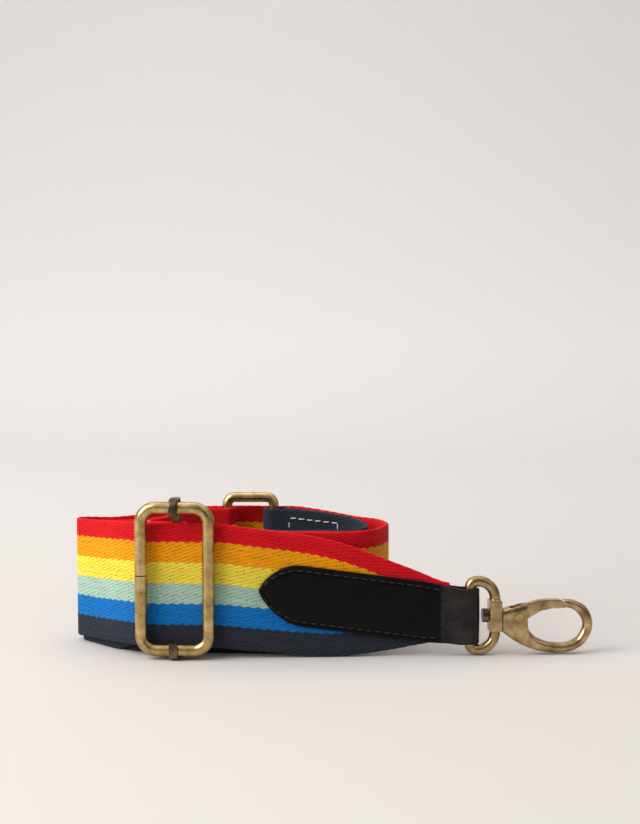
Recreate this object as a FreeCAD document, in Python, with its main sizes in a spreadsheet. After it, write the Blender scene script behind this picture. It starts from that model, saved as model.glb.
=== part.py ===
"""A luggage strap of striped 50 mm webbing, coiled and standing on edge.

Millimetres, +Z up. The webbing runs stand on their lower edge at z = 0. In plan the front
run lies near y = 0 and the coil goes back along +Y. Layout coordinates are used while the
pieces are made, and everything is moved at the end so that the origin is the centre of the
underside of the whole strap.
"""
import FreeCAD, Part
import math
import os

Vector = FreeCAD.Vector
Placement = FreeCAD.Placement
Rotation = FreeCAD.Rotation

doc = FreeCAD.newDocument("luggage_strap")
sheet = doc.addObject("Spreadsheet::Sheet", "Sizes")

SIZES = [
    ("web_width", 50.0), ("web_thick", 1.6), ("layer_gap", 0.6), ("web_lift", 4.2),
    ("coil_left", -103.5), ("coil_right", 28.5), ("coil_depth", 61.0),
    ("leather", 1.5), ("tab_length", 85.0), ("tab_width", 24.8), ("loop_width", 22.6),
    ("tip_length", 18.0), ("tab_tip_high", 27.5), ("tab_b_tip_high", 25.0), ("eye_b_high", 36.5),
    ("thread", 0.5), ("stitch", 2.7), ("stitch_pitch", 3.7), ("stitch_inset", 2.1),
    ("slider_wire", 5.0), ("slider_width", 32.0), ("slider_corner", 6.0), ("slider_room", 2.0),
    ("slider_at", -58.0), ("bar_width", 3.6), ("bar_thick", 1.2),
    ("ring_wire", 4.4), ("ring_width", 20.4), ("ring_corner", 3.2), ("ring_room", 1.4),
    ("ring_left", -41.0), ("ring_back", 56.0), ("ring_swing_room", 1.5),
    ("eye_wire", 4.4), ("eye_width", 10.2), ("eye_room", 0.45), ("eye_far_corner", 7.0),
    ("eye_near_corner", 2.8), ("collar_length", 5.0), ("collar_deep", 6.8), ("collar_tall", 12.5),
    ("post_radius", 2.0), ("post_head", 2.8), ("post_head_length", 2.3), ("running", 0.05),
    ("play", 0.35), ("hook_wire", 4.4), ("hook_deep", 6.0), ("gate_deep", 3.4),
    ("gate_side", 0.3), ("pin_radius", 1.0), ("pin_head", 1.45), ("pin_head_length", 0.45),
    ("spring_wire", 0.3), ("spring_radius", 1.4), ("spring_turns", 5),
]


def fill_sheet():
    """One row for each driving size: its name and its value, which gets the name as alias."""
    for row, (name, value) in enumerate(SIZES, start=1):
        sheet.set(f"A{row}", name)
        sheet.set(f"B{row}", str(value))
        sheet.setAlias(f"B{row}", name)
    doc.recompute()


def size(name):
    return float(sheet.get(name))


fill_sheet()

WIDTH = size("web_width")
THICK = size("web_thick")
PITCH = THICK + size("layer_gap")
LEATHER = size("leather")
LEFT = size("coil_left")
RIGHT = size("coil_right")
DEPTH = size("coil_depth")
BAR_X = size("slider_at")
LIFT = size("web_lift")

# Plan of the front run: it bends slightly at BEND, between the slider and tab a.
BEND = Vector(-31, 0.6, 0)
FRONT_RIGHT = math.radians(3.4)
FRONT_LEFT = math.radians(3.0)
EYE_A_X = 60.3
EYE_B = Vector(-78.0, 23.4, 0)


def front_y(x):
    """Where the front run's centre lies at x."""
    slope = math.tan(FRONT_RIGHT) if x > BEND.x else -math.tan(FRONT_LEFT)
    return BEND.y + (x - BEND.x) * slope


# ---------------------------------------------------------------- flat strips along a path

def rounded(points, offset=0.0, share=0.5):
    """Runs and arcs along the points, at a distance to their left, as plain 2-D tuples."""
    parts = []
    here = None
    for a, b, c in zip(points, points[1:], points[2:]):
        before = Vector(b[0] - a[0], b[1] - a[1], 0)
        after = Vector(c[0] - b[0], c[1] - b[1], 0)
        cut = share * min(before.Length, after.Length)
        before.normalize()
        after.normalize()
        side_before = Vector(-before.y, before.x, 0)
        side_after = Vector(-after.y, after.x, 0)
        turn = math.atan2(before.cross(after).z, before.dot(after))
        corner = Vector(b[0], b[1], 0)
        first = corner - before * cut
        last = corner + after * cut
        way = math.copysign(1, turn)
        radius = cut / math.tan(abs(turn) / 2)
        centre = first + side_before * way * radius
        middle = (corner - centre).normalize()
        start = first + side_before * offset
        if here is None:
            here = Vector(a[0], a[1], 0) + side_before * offset
        if (start - here).Length > 1e-4:
            parts.append(("line", here, start))
        here = last + side_after * offset
        parts.append(("arc", start, centre + middle * (radius - way * offset), here))
    a, b = points[-2], points[-1]
    run = Vector(b[0] - a[0], b[1] - a[1], 0).normalize()
    end = Vector(b[0], b[1], 0) + Vector(-run.y, run.x, 0) * offset
    if here is None:
        here = Vector(a[0], a[1], 0) + Vector(-run.y, run.x, 0) * offset
    parts.append(("line", here, end))
    return parts


def edges_of(parts, put):
    """Edges for those runs and arcs, placed in space by put(u, v)."""
    made = []
    for kind, *ends in parts:
        spots = [put(p.x, p.y) for p in ends]
        made.append(Part.LineSegment(*spots).toShape() if kind == "line" else Part.Arc(*spots).toShape())
    return made


def strip_face(points, thick, put, offset=0.0):
    """The flat outline of a strip of one thickness that follows the points."""
    left = edges_of(rounded(points, offset + thick / 2), put)
    right = edges_of(rounded(points, offset - thick / 2), put)
    caps = [Part.makeLine(left[-1].lastVertex().Point, right[-1].lastVertex().Point),
            Part.makeLine(right[0].firstVertex().Point, left[0].firstVertex().Point)]
    return Part.Face(Part.Wire(Part.__sortEdges__(left + [caps[0]] + right + [caps[1]])))


def strip(points, thick, low, high, offset=0.0):
    """A strip standing on edge from low to high along a path in plan."""
    return strip_face(points, thick, lambda u, v: Vector(u, v, low), offset).extrude(
        Vector(0, 0, high - low))


def prism_xz(points, near, far):
    """A block between two planes of y, with its outline given in x and z."""
    wire = Part.makePolygon([Vector(x, near, z) for x, z in points + points[:1]])
    return Part.Face(wire).extrude(Vector(0, far - near, 0))


def rod_along(points, radius, put):
    """A round rod whose centre follows the points."""
    path = Part.Wire(edges_of(rounded(points), put))
    first = path.OrderedEdges[0]
    start = first.valueAt(first.FirstParameter)
    circle = Part.Wire(Part.makeCircle(radius, start, first.tangentAt(first.FirstParameter)))
    return path.makePipeShell([circle], True, False)


# ---------------------------------------------------------------- objects of the document

NODES = {}


def node(name, shape, placement=None):
    """A sub-part whose shape is worked out here from the sheet's values."""
    made = doc.addObject("Part::Feature", name)
    made.Label = name
    made.Shape = shape
    if placement is not None:
        made.Placement = placement
    NODES[name] = made
    return made


def keep(made, name, placement=None):
    """A finished primitive or boolean becomes the sub-part of that name."""
    made.Label = name
    if placement is not None:
        made.Placement = placement
    NODES[name] = made
    return made


def bind(made, **expressions):
    for key, words in expressions.items():
        made.setExpression(key.replace("_", "."), words)
    return made


def cylinder(name, radius, height, rotation=None, **at):
    """A Part cylinder with its size, and its place along x, y and z, bound to the sheet."""
    made = doc.addObject("Part::Cylinder", name)
    if rotation is not None:
        made.Placement = Placement(Vector(), rotation)
    bind(made, Radius=radius, Height=height)
    return bind(made, **{f"Placement_Base_{axis}": words for axis, words in at.items()})


def quarter_ring(name, corner, wire, turn, **at):
    """A quarter of a torus in the XZ plane, starting at turn degrees."""
    made = doc.addObject("Part::Torus", name)
    spin = Rotation(Vector(1, 0, 0), 90).multiply(Rotation(Vector(0, 0, 1), turn))
    made.Placement = Placement(Vector(), spin)
    made.Angle3 = 90
    bind(made, Radius1=corner, Radius2=f"{wire} / 2")
    return bind(made, **{f"Placement_Base_{axis}": words for axis, words in at.items()})


ALONG_X = Rotation(Vector(0, 1, 0), 90)
ALONG_Y = Rotation(Vector(1, 0, 0), -90)


def wire_frame(name, wire, width, height, near, far):
    """A closed frame of round wire in the XZ plane; its near upright stands on x = 0.

    width and height are between centrelines, near and far are the corners' centreline radii.
    """
    half = f"(({height}) / 2)"
    radius = f"{wire} / 2"
    pieces = [
        cylinder(name + "_near", radius, f"({height}) - 2 * {near}", z=f"-{half} + {near}"),
        cylinder(name + "_far", radius, f"({height}) - 2 * {far}", x=width, z=f"-{half} + {far}"),
        cylinder(name + "_top", radius, f"{width} - {near} - {far}", ALONG_X, x=near, z=half),
        cylinder(name + "_bottom", radius, f"{width} - {near} - {far}", ALONG_X, x=near, z=f"-{half}"),
        quarter_ring(name + "_far_top", far, wire, 0, x=f"{width} - {far}", z=f"{half} - {far}"),
        quarter_ring(name + "_near_top", near, wire, 90, x=near, z=f"{half} - {near}"),
        quarter_ring(name + "_near_bottom", near, wire, 180, x=near, z=f"-{half} + {near}"),
        quarter_ring(name + "_far_bottom", far, wire, 270, x=f"{width} - {far}", z=f"-{half} + {far}"),
    ]
    fused = doc.addObject("Part::MultiFuse", name + "_frame")
    fused.Shapes = pieces
    return fused


# ---------------------------------------------------------------- webbing

def nose(step):
    """The left end of the coil, step layers inside the outermost one: front, tip and back."""
    inside = step * PITCH
    return [(LEFT + 24.5 + 0.62 * inside, 8.2 + 1.05 * inside),
            (LEFT - 0.5 + 1.25 * inside, 33.0 + 0.05 * inside),
            (LEFT + 4 + 0.75 * inside, 40.0 - 0.85 * inside),
            (LEFT + 24 + 0.3 * inside, DEPTH - 15.4 - 1.05 * inside)]


TAB_END_A = EYE_A_X - 8.3
SPLIT_SHARE = 0.5
RING_X = size("ring_left")
RING_Y = size("ring_back")
RING_FAR = RING_X + size("ring_width")
RING_R = size("ring_wire") / 2
FOLD = RING_R + 0.15 + THICK / 2
BAR_FOLD = size("bar_thick") / 2 + 0.3 + THICK / 2
BAR_Y = front_y(BAR_X) + THICK / 2 + 0.35 + THICK / 2 + BAR_FOLD
FAR_BACK = DEPTH + 1.2
RING_LIFT = size("ring_wire") + size("ring_room") / 2


def split_point():
    """The middle of the outer layer's slanting run, where the raised front part begins."""
    first, second = nose(0)[0], nose(0)[1]
    return tuple(a + (b - a) * SPLIT_SHARE for a, b in zip(first, second))


def front_route():
    """From inside tab a to the slanting run at the left: the outermost layer."""
    return [(TAB_END_A, front_y(TAB_END_A)), (BEND.x + 2, front_y(BEND.x + 2)),
            (BEND.x - 2, front_y(BEND.x - 2)), (-70.0, front_y(-70.0)), nose(0)[0], split_point()]


def halfway(a, b, share=0.5):
    """A plan point on the run from a to b."""
    return tuple(p + (q - p) * share for p, q in zip(a, b))


TO_RING = [(-58, DEPTH - 12.5), (-48, RING_Y - FOLD), (RING_X + FOLD, RING_Y - FOLD)]
FROM_RING = [(RING_X + FOLD, RING_Y + FOLD), (-48, RING_Y + FOLD - 0.3), (-58, DEPTH - 6.4)]


def coil_route():
    """From the slanting run round the whole coil to the inner layer at the back."""
    back = [(-54, DEPTH - 1.0), (-40, FAR_BACK), (-14.5, FAR_BACK - 1), (12, DEPTH - 5.5)]
    turn = [(RIGHT - 4.5, DEPTH - 13), (RIGHT + 0.5, DEPTH - 26), (RIGHT - 2.5, 22), (20, 11.5)]
    second = [(8, 6.9), (-44, 9.6), (-70, 11.4)]
    inner = nose(2)
    return ([split_point(), nose(0)[1]] + nose(0)[2:] + back + turn + second + inner
            + [halfway(inner[-1], TO_RING[0])])


def ring_route():
    """Round the ring's near upright: the inner layer, the fold and the middle layer."""
    return ([halfway(nose(2)[-1], TO_RING[0])] + TO_RING + FROM_RING
            + [halfway(FROM_RING[-1], nose(1)[-1])])


def return_route():
    """The middle layer from the back round the left end, where the slider's end takes over."""
    middle = nose(1)[::-1]
    return [halfway(FROM_RING[-1], middle[0])] + middle[:-1] + [halfway(middle[-2], middle[-1], 0.62)]


def ring_outline():
    """The stretch round the ring seen from the front: raised to lie between the ring's rails."""
    start, raised = nose(1)[-1][0] + 4, -50
    return [(LEFT, 0), (start, 0), (raised, RING_LIFT), (0, RING_LIFT), (0, RING_LIFT + WIDTH),
            (raised, RING_LIFT + WIDTH), (start, WIDTH), (LEFT, WIDTH)]


def front_outline():
    """The front run seen from the front: raised at the slider and tapered into tab a."""
    raised = [(BAR_X - 19, LIFT), (BAR_X + 19, LIFT)]
    low = [(LEFT, 0), (split_point()[0], 0)] + raised + [(2, 0), (14, 0.4), (34, 3.6), (TAB_END_A, 6.6)]
    high = [(TAB_END_A, 29.0), (34, 36.6), (10, 45.8), (-8, WIDTH), (BAR_X + 19, WIDTH + LIFT),
            (BAR_X - 19, WIDTH + LIFT), (split_point()[0], WIDTH), (LEFT, WIDTH)]
    return low + [(TAB_END_A + 5, 6.6), (TAB_END_A + 5, 29.0)] + high


def main_webbing():
    front = strip(front_route(), THICK, -1, WIDTH + 10)
    front = front.common(prism_xz(front_outline(), -20, 60))
    ring = strip(ring_route(), THICK, -1, WIDTH + 10)
    ring = ring.common(prism_xz(ring_outline(), -20, 90))
    rest = [strip(route, THICK, 0, WIDTH) for route in (coil_route(), return_route())]
    return front.fuse([ring] + rest).removeSplitter()


def sewn_end():
    """The webbing's end: a loop round the slider's bar and the doubled part sewn behind it."""
    y = BAR_Y
    route = [(BAR_X - 9.5, y + 0.7), (BAR_X - 6, y - 0.1), (BAR_X - 3.2, y - BAR_FOLD),
             (BAR_X + BAR_FOLD + 1.8, y - BAR_FOLD), (BAR_X + BAR_FOLD + 1.8, y + BAR_FOLD),
             (BAR_X - 3.2, y + BAR_FOLD), (BAR_X - 6, y + 1.9), (BAR_X - 9.5, y + 2.7)]
    return strip(route, THICK, LIFT, LIFT + WIDTH)


EYE_B_HEADING = math.radians(120)
TAB_B_BEND_Y = 16.3
TAB_B_START = (12.5, 11.6)
SHORT_TURN = [(13, DEPTH - 16.8), (RIGHT - 9, DEPTH - 29), (RIGHT - 9.5, 19)]


def tab_b_middle():
    """The middle line of tab b in plan, from the bend at the right to its eye."""
    heading = Vector(math.cos(EYE_B_HEADING), math.sin(EYE_B_HEADING), 0)
    corner = EYE_B - heading * ((EYE_B.y - TAB_B_BEND_Y) / heading.y)
    return [TAB_B_START, (corner.x, corner.y), (EYE_B.x, EYE_B.y)]


SEAM = [(-15.0, 51.4), SHORT_TURN[0]]


def short_route():
    """From its sewn tail round the ring's far upright, round the coil's inside, to tab b."""
    x, y = RING_FAR, RING_Y
    run = (Vector(*SEAM[1], 0) - Vector(*SEAM[0], 0)).normalize()
    beside = Vector(-run.y, run.x, 0) * (THICK + 0.35)
    tail = [(p.x, p.y) for p in (Vector(*SEAM[1], 0) + beside, Vector(*SEAM[0], 0) + beside + run * 2)]
    start, corner = (Vector(*p, 0) for p in tab_b_middle()[:2])
    end = corner - (corner - start).normalize() * 4
    front = y - FOLD - size("ring_swing_room")
    apex = x - FOLD - size("ring_swing_room") / 2
    return (tail + [(-16.5, y + FOLD), (apex, y + FOLD), (apex, front), SEAM[0]]
            + SHORT_TURN + [TAB_B_START, (end.x, end.y)])


def short_fold_outline():
    """The folded end seen from the front, raised between the ring's rails."""
    return [(-60, RING_LIFT), (-9, RING_LIFT), (24, 0), (60, 0), (60, WIDTH), (24, WIDTH),
            (-9, WIDTH + RING_LIFT), (-60, WIDTH + RING_LIFT)]


def short_outline():
    """Seen from the front: full width up to the start of tab b, then tapered into it."""
    x = EYE_B.x
    return [(60, 0), (-4, 0), (-30, 8), (-56, 23.0), (x + 6, 26.0), (x - 8, 26.0), (x - 8, 46.6),
            (x + 6, 46.6), (-56, 48.0), (-30, WIDTH), (60, WIDTH)]


def short_webbing():
    whole = strip(short_route(), THICK, -1, WIDTH + 10)
    tail_side = prism_xz(short_fold_outline(), 28, 90)
    tab_side = prism_xz(short_outline(), -10, 28)
    return whole.common(tail_side.fuse(tab_side))


# ---------------------------------------------------------------- leather tabs and stitching

NARROW_FROM = 19.0


def tab_half(along):
    """Half the tab's width at a distance from its pointed tip."""
    half = size("tab_width") / 2
    tip = size("tip_length")
    if along < tip:
        return half * (1 - (1 - along / tip) ** 2) ** 0.75
    narrow = max(0.0, (along - size("tab_length") + NARROW_FROM) / (NARROW_FROM - 3))
    return half + (size("loop_width") / 2 - half) * min(1.0, narrow)


def tab_middle_z(along, tip_z, eye_z):
    """Height of the tab's middle line: it slopes, and levels out just before the eye."""
    level = size("tab_length") - 4
    return tip_z + (eye_z - tip_z) * min(1.0, along / level)


def tab_outline(eye_x, way, tip_z, eye_z):
    """A tab seen from the front, from its tip to past its eye; way is +1 when the eye is right."""
    long, tip = size("tab_length"), size("tip_length")
    steps = [tip * k / 8 for k in range(1, 9)] + [long - NARROW_FROM, long - 4, long - 3, long, long + 12]
    upper = [(s, tab_half(s)) for s in steps]
    full = [(0, 0)] + upper + [(s, -half) for s, half in reversed(upper)]
    return [(eye_x - way * (long - s), tab_middle_z(s, tip_z, eye_z) + c) for s, c in full]


def leather_loop(middle, eye, heading):
    """Both leaves of a tab and the loop round the eye, as one strip in plan.

    middle is the tab's middle line before the eye; the leaves lie each side of the webbing.
    """
    lie = THICK / 2 + LEATHER / 2
    reach = size("eye_wire") / 2 + 0.15 + LEATHER / 2
    side = Vector(-heading.y, heading.x, 0)

    def leaf(sign):
        line = rounded(middle, sign * lie)
        spots = [line[0][1]]
        corners = [Vector(x, y, 0) for x, y in middle[1:-1]]
        for corner in corners:
            before = (corner - Vector(*middle[0], 0)).normalize()
            after = heading
            half = math.atan2(before.cross(after).z, before.dot(after)) / 2
            lean = Vector(-before.y - after.y, before.x + after.x, 0).normalize()
            spots.append(corner + lean * (sign * lie / math.cos(half)))
        if (eye - Vector(*middle[-2], 0)).Length > 12:
            spots.append(eye - heading * 7.6 + side * sign * lie)
        spots.append(eye - heading * 4.2 + side * sign * reach)
        spots.append(eye + heading * reach + side * sign * reach)
        return [(p.x, p.y) for p in spots]

    return leaf(1) + leaf(-1)[::-1]


def eye_point(letter):
    """Plan place of the tab's eye and the way the leather points there."""
    if letter == "a":
        return Vector(EYE_A_X, front_y(EYE_A_X), 0), Vector(math.cos(FRONT_RIGHT), math.sin(FRONT_RIGHT), 0)
    return EYE_B, Vector(math.cos(EYE_B_HEADING), math.sin(EYE_B_HEADING), 0)


def eye_z(letter):
    """Height of the eye's middle: eye a stands on the ground."""
    return eye_height() / 2 if letter == "a" else size("eye_b_high")


def eye_height():
    """Outer height of an eye, from the leather that it takes."""
    return size("loop_width") + 2 * size("eye_room") + 2 * size("eye_wire")


def tab_middle(letter):
    eye, heading = eye_point(letter)
    if letter == "a":
        tip = eye - heading * (size("tab_length") + 1)
        return [(tip.x, tip.y), (eye.x, eye.y)]
    inner = tab_b_middle()
    start = Vector(*inner[1], 0) - (Vector(*inner[1], 0) - Vector(*inner[0], 0)).normalize() * 90
    return [(start.x, start.y), inner[1], inner[2]]


def leather_tab(letter):
    eye, heading = eye_point(letter)
    way, tip_z = (1, size("tab_tip_high")) if letter == "a" else (-1, size("tab_b_tip_high"))
    whole = strip(leather_loop(tab_middle(letter), eye, heading), LEATHER, -1, WIDTH + 12)
    outline = tab_outline(eye.x, way, tip_z, eye_z(letter))
    return whole.common(prism_xz(outline, -30, 60))


def tab_stitching(letter):
    """Short stitches along both edges of a tab, on its front leaf and its back leaf."""
    eye, heading = eye_point(letter)
    way, tip_z = (1, size("tab_tip_high")) if letter == "a" else (-1, size("tab_b_tip_high"))
    start, second = (Vector(*p, 0) for p in tab_middle(letter)[:2])
    line = (second - start).normalize()
    out = THICK / 2 + LEATHER
    thread, long, pitch = size("thread"), size("stitch"), size("stitch_pitch")
    last = size("tab_length") - 26
    made = []
    for row in range(int((last - 4) / pitch)):
        along = 4 + row * pitch
        for edge in (1, -1):
            across = edge * (tab_half(along) - size("stitch_inset"))
            x = eye.x - way * (size("tab_length") - along)
            base = start + line * ((x - start.x) / line.x)
            rise = tab_middle_z(along, tip_z, eye_z(letter)) + across
            for face in (1, -1):
                side = Vector(-line.y, line.x, 0) * face
                box = Part.makeBox(long, thread / 2, thread, Vector(-long / 2, 0, -thread / 2))
                turn = Rotation(Vector(line.x, line.y, 0), side, Vector(0, 0, face), "XYZ")
                box.Placement = Placement(Vector(base.x, base.y, rise) + side * out, turn)
                made.append(box)
    return Part.makeCompound(made)


def stitch_line(spots, out):
    """Stitches laid along a list of plan-and-height spots, on a face that looks along out."""
    thread, long = size("thread"), size("stitch")
    made = []
    for (x, y, z), way in spots:
        along = Vector(*way)
        turn = Rotation(along, out, along.cross(out), "XYZ")
        box = Part.makeBox(long, thread / 2, thread, Vector(-long / 2, 0, -thread / 2))
        box.Placement = Placement(Vector(x, y, z), turn)
        made.append(box)
    return Part.makeCompound(made)


def slider_end_stitching():
    """One row of stitches up the doubled end, on the side that faces the coil's inside."""
    y = BAR_Y + 2.4 + THICK / 2
    rows = int(WIDTH / size("stitch_pitch")) - 1
    spots = [((BAR_X - 7.6, y, LIFT + size("stitch_pitch") * (k + 1)), (0, 0, 1)) for k in range(rows)]
    return stitch_line(spots, Vector(0, 1, 0))


def ring_box_stitching():
    """A box of stitches that holds the short webbing's fold round the ring."""
    a, b = (Vector(*p, 0) for p in SEAM)
    run = (b - a).normalize()
    out = Vector(run.y, -run.x, 0)
    low, high, first, last = RING_LIFT + 3, WIDTH - 2.0, 5.5, 20.5
    pitch = size("stitch_pitch")
    spots = []
    for k in range(int((high - low) / pitch)):
        for u in (first, last):
            p = a + run * u + out * (THICK / 2)
            spots.append(((p.x, p.y, low + (k + 0.7) * pitch), (0, 0, 1)))
    return stitch_line(spots, out)


# ---------------------------------------------------------------- slider and ring

def slider_height():
    """Outer height of the slider: the webbing and its room between two rails."""
    return WIDTH + size("slider_room") + 2 * size("slider_wire")


def slider_placement():
    """The slider's frame stands just in front of the front run and is parallel to it."""
    wire = size("slider_wire")
    turn = Rotation(Vector(0, 0, 1), -math.degrees(FRONT_LEFT))
    reach = (size("slider_width") - wire) / 2
    base = Vector(BAR_X, front_y(BAR_X) - THICK / 2 - 0.35 - wire / 2, slider_height() / 2 + slider_base())
    return Placement(base - turn.multVec(Vector(reach, 0, 0)), turn)


def slider_base():
    """The frame stands on the bar's lower curl, which goes under it."""
    return size("bar_thick") + 0.15


def slider_frame():
    frame = wire_frame("slider", "Sizes.slider_wire", "(Sizes.slider_width - Sizes.slider_wire)",
                       "(Sizes.web_width + Sizes.slider_room + Sizes.slider_wire)",
                       "Sizes.slider_corner", "Sizes.slider_corner")
    keep(frame, "slider_frame", slider_placement())


def slider_bar():
    """A flat bar behind the webbing, curled forward over the upper and lower rails."""
    turn = -math.degrees(FRONT_LEFT)
    wire, thick = size("slider_wire"), size("bar_thick")
    rail_y = -THICK / 2 - 0.35 - wire / 2
    bar_y = BAR_Y - front_y(BAR_X)
    low, high = slider_base() + wire / 2, slider_base() + slider_height() - wire / 2
    r = wire / 2 + 0.15 + thick / 2
    bend = 1.6
    route = [(rail_y - r, low + r), (rail_y - r, low - r), (bar_y - bend, low - r),
             (bar_y, low - r + bend), (bar_y, high + r - bend), (bar_y - bend, high + r),
             (rail_y - r, high + r), (rail_y - r, high - r)]
    width = size("bar_width")
    face = strip_face(route, thick, lambda u, v: Vector(-width / 2, u, v))
    spot = Placement(Vector(BAR_X, front_y(BAR_X), 0), Rotation(Vector(0, 0, 1), turn))
    node("slider_bar", face.extrude(Vector(width, 0, 0)), spot)


def ring_height():
    """Outer height of the ring: the webbing and its room between two bars."""
    return WIDTH + size("ring_room") + 2 * size("ring_wire")


def rectangular_ring():
    frame = wire_frame("ring", "Sizes.ring_wire", "Sizes.ring_width",
                       "(Sizes.web_width + Sizes.ring_room + Sizes.ring_wire)",
                       "Sizes.ring_corner", "Sizes.ring_corner")
    spot = Vector(RING_X, RING_Y, ring_height() / 2)
    keep(frame, "rectangular_ring", Placement(spot, Rotation()))


# ---------------------------------------------------------------- snap hook, in its own frame
# x runs from the eye's upright to the hook's end and z is up in the plane of the hook.

HOOK_ROUTE = [(15.5, -5.6), (23.5, -10.8), (31, -13.6), (39.5, -14.1), (46.6, -11.2),
              (49.2, -4.2), (46.4, 2.2), (40.9, 4.7)]
HOOK_BODY = [(13.05, 2.2), (16.5, 3.7), (22.9, 5.4), (23.1, -1.0), (23.9, -5.4), (26.4, -8.8),
             (25.0, -11.6), (18.6, -10.6), (13.05, -6.6)]
GATE = [(17.7, 1.4), (20.0, 3.4), (23.2, 4.8), (28, 6.0), (33, 6.4), (37.3, 6.1), (39.3, 2.9),
        (33, 2.7), (28.5, 1.7), (24.6, -0.6), (21.6, -2.6), (18.6, -2.6), (17.3, -0.8)]
PIVOT = (19.6, -0.4)
NOSE_CUT = [(36.0, 9.0), (37.55, 6.3), (39.75, 2.6), (40.6, 1.0), (34.0, 1.0), (34.0, 9.0)]


def hook_eye(letter, place):
    """A D-shaped ring with a bored block on its curved side."""
    tag = f"eye_{letter}"
    inner = "(Sizes.loop_width + 2 * Sizes.eye_room + Sizes.eye_wire)"
    frame = wire_frame(tag, "Sizes.eye_wire", "Sizes.eye_width", inner,
                       "Sizes.eye_near_corner", "Sizes.eye_far_corner")
    block = doc.addObject("Part::Box", tag + "_block")
    bind(block, Length="Sizes.collar_length", Width="Sizes.collar_deep", Height="Sizes.collar_tall",
         Placement_Base_x="Sizes.eye_width - Sizes.collar_length / 2",
         Placement_Base_y="-Sizes.collar_deep / 2", Placement_Base_z="-Sizes.collar_tall / 2")
    joined = doc.addObject("Part::MultiFuse", tag + "_joined")
    joined.Shapes = [frame, block]
    bore = cylinder(tag + "_bore", "Sizes.post_radius + Sizes.running", "Sizes.eye_width + 8", ALONG_X,
                    x="Sizes.eye_wire")
    cut = doc.addObject("Part::Cut", f"hook_{letter}_eye_cut")
    cut.Base, cut.Tool = joined, bore
    keep(cut, f"hook_{letter}_eye", place)


def swivel_post(letter, place):
    """A headed post that turns in the eye's block and is fixed in the hook's body."""
    tag = f"post_{letter}"
    start = "(Sizes.eye_width - Sizes.collar_length / 2 - Sizes.play)"
    head = cylinder(tag + "_head", "Sizes.post_head", "Sizes.post_head_length", ALONG_X,
                    x=f"{start} - Sizes.post_head_length")
    shaft = cylinder(tag + "_shaft", "Sizes.post_radius",
                     "Sizes.collar_length + 2 * Sizes.play + 2.6", ALONG_X, x=start)
    fused = doc.addObject("Part::Fuse", tag + "_fused")
    fused.Base, fused.Tool = head, shaft
    keep(fused, f"hook_{letter}_swivel_post", place)


def hook_body(letter, place):
    """The cast body: a tapered block with a slot for the gate, and the hook's round wire."""
    deep, wire = size("hook_deep"), size("hook_wire")
    slot = size("gate_deep") / 2 + size("gate_side")
    block = prism_xz(HOOK_BODY, -deep / 2, deep / 2)
    wire_rod = rod_along(HOOK_ROUTE, wire / 2, lambda u, v: Vector(u, 0, v))
    wire_rod = wire_rod.cut(prism_xz(NOSE_CUT, -deep, deep))
    whole = block.fuse(wire_rod)
    gap = prism_xz([(16.4, -4.4), (24.4, -4.4), (27, -3), (27, 8), (16.4, 8)], -slot, slot)
    post = Part.makeCylinder(size("post_radius"), 12, Vector(8, 0, 0), Vector(1, 0, 0))
    stop = size("eye_width") + size("collar_length") / 2 + size("play") + 2.6
    post = post.common(Part.makeBox(stop, 20, 20, Vector(0, -10, -10)))
    pin = Part.makeCylinder(size("pin_radius"), 20, Vector(PIVOT[0], -10, PIVOT[1]), Vector(0, 1, 0))
    node(f"hook_{letter}_body", whole.cut(gap).cut(post).cut(pin).removeSplitter(), place)


def hook_gate(letter, place):
    """The sprung gate, hollow round its pin where the spring sits."""
    deep = size("gate_deep") / 2
    whole = prism_xz(GATE, -deep, deep)
    hollow = Part.makeBox(8, 1.9, 12, Vector(14.4, -0.95, -6))
    bore = Part.makeCylinder(size("pin_radius") + size("running"), 20, Vector(PIVOT[0], -10, PIVOT[1]),
                             Vector(0, 1, 0))
    node(f"hook_{letter}_gate", whole.cut(hollow).cut(bore), place)


def gate_pin(letter, place):
    tag = f"gate_pin_{letter}"
    deep = "(Sizes.hook_deep / 2 + Sizes.pin_head_length)"
    shaft = cylinder(tag + "_shaft", "Sizes.pin_radius", f"2 * {deep}", ALONG_Y,
                     x=str(PIVOT[0]), y=f"-{deep}", z=str(PIVOT[1]))
    heads = [cylinder(tag + side, "Sizes.pin_head", "Sizes.pin_head_length", ALONG_Y,
                      x=str(PIVOT[0]), y=where, z=str(PIVOT[1]))
             for side, where in (("_near", f"-{deep}"), ("_far", "Sizes.hook_deep / 2"))]
    fused = doc.addObject("Part::MultiFuse", tag + "_fused")
    fused.Shapes = [shaft] + heads
    keep(fused, f"hook_{letter}_gate_pin", place)


def gate_spring(letter, place):
    """A small torsion spring wound round the gate's pin, its turns touching."""
    wire, radius, turns = size("spring_wire"), size("spring_radius"), int(size("spring_turns"))
    inside, waist, outside = radius - wire / 2, radius + wire / 6, radius + wire / 2
    low = -wire * turns / 2
    edges = []
    for turn in range(turns):
        z = low + wire * turn
        edges.append(Part.Arc(Vector(waist, 0, z), Vector(outside, 0, z + wire / 2),
                              Vector(waist, 0, z + wire)).toShape())
    high = low + wire * turns
    for start, end in (((waist, high), (inside, high)), ((inside, high), (inside, low)),
                       ((inside, low), (waist, low))):
        edges.append(Part.makeLine(Vector(start[0], 0, start[1]), Vector(end[0], 0, end[1])))
    coil = Part.Face(Part.Wire(edges)).revolve(Vector(), Vector(0, 0, 1), 360)
    coil.Placement = Placement(Vector(PIVOT[0], 0, PIVOT[1]), ALONG_Y)
    made = node(f"hook_{letter}_gate_spring", coil)
    made.Placement = place.multiply(coil.Placement)


def snap_hook(letter, place):
    hook_eye(letter, place)
    swivel_post(letter, place)
    hook_body(letter, place)
    hook_gate(letter, place)
    gate_pin(letter, place)
    gate_spring(letter, place)


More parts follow.
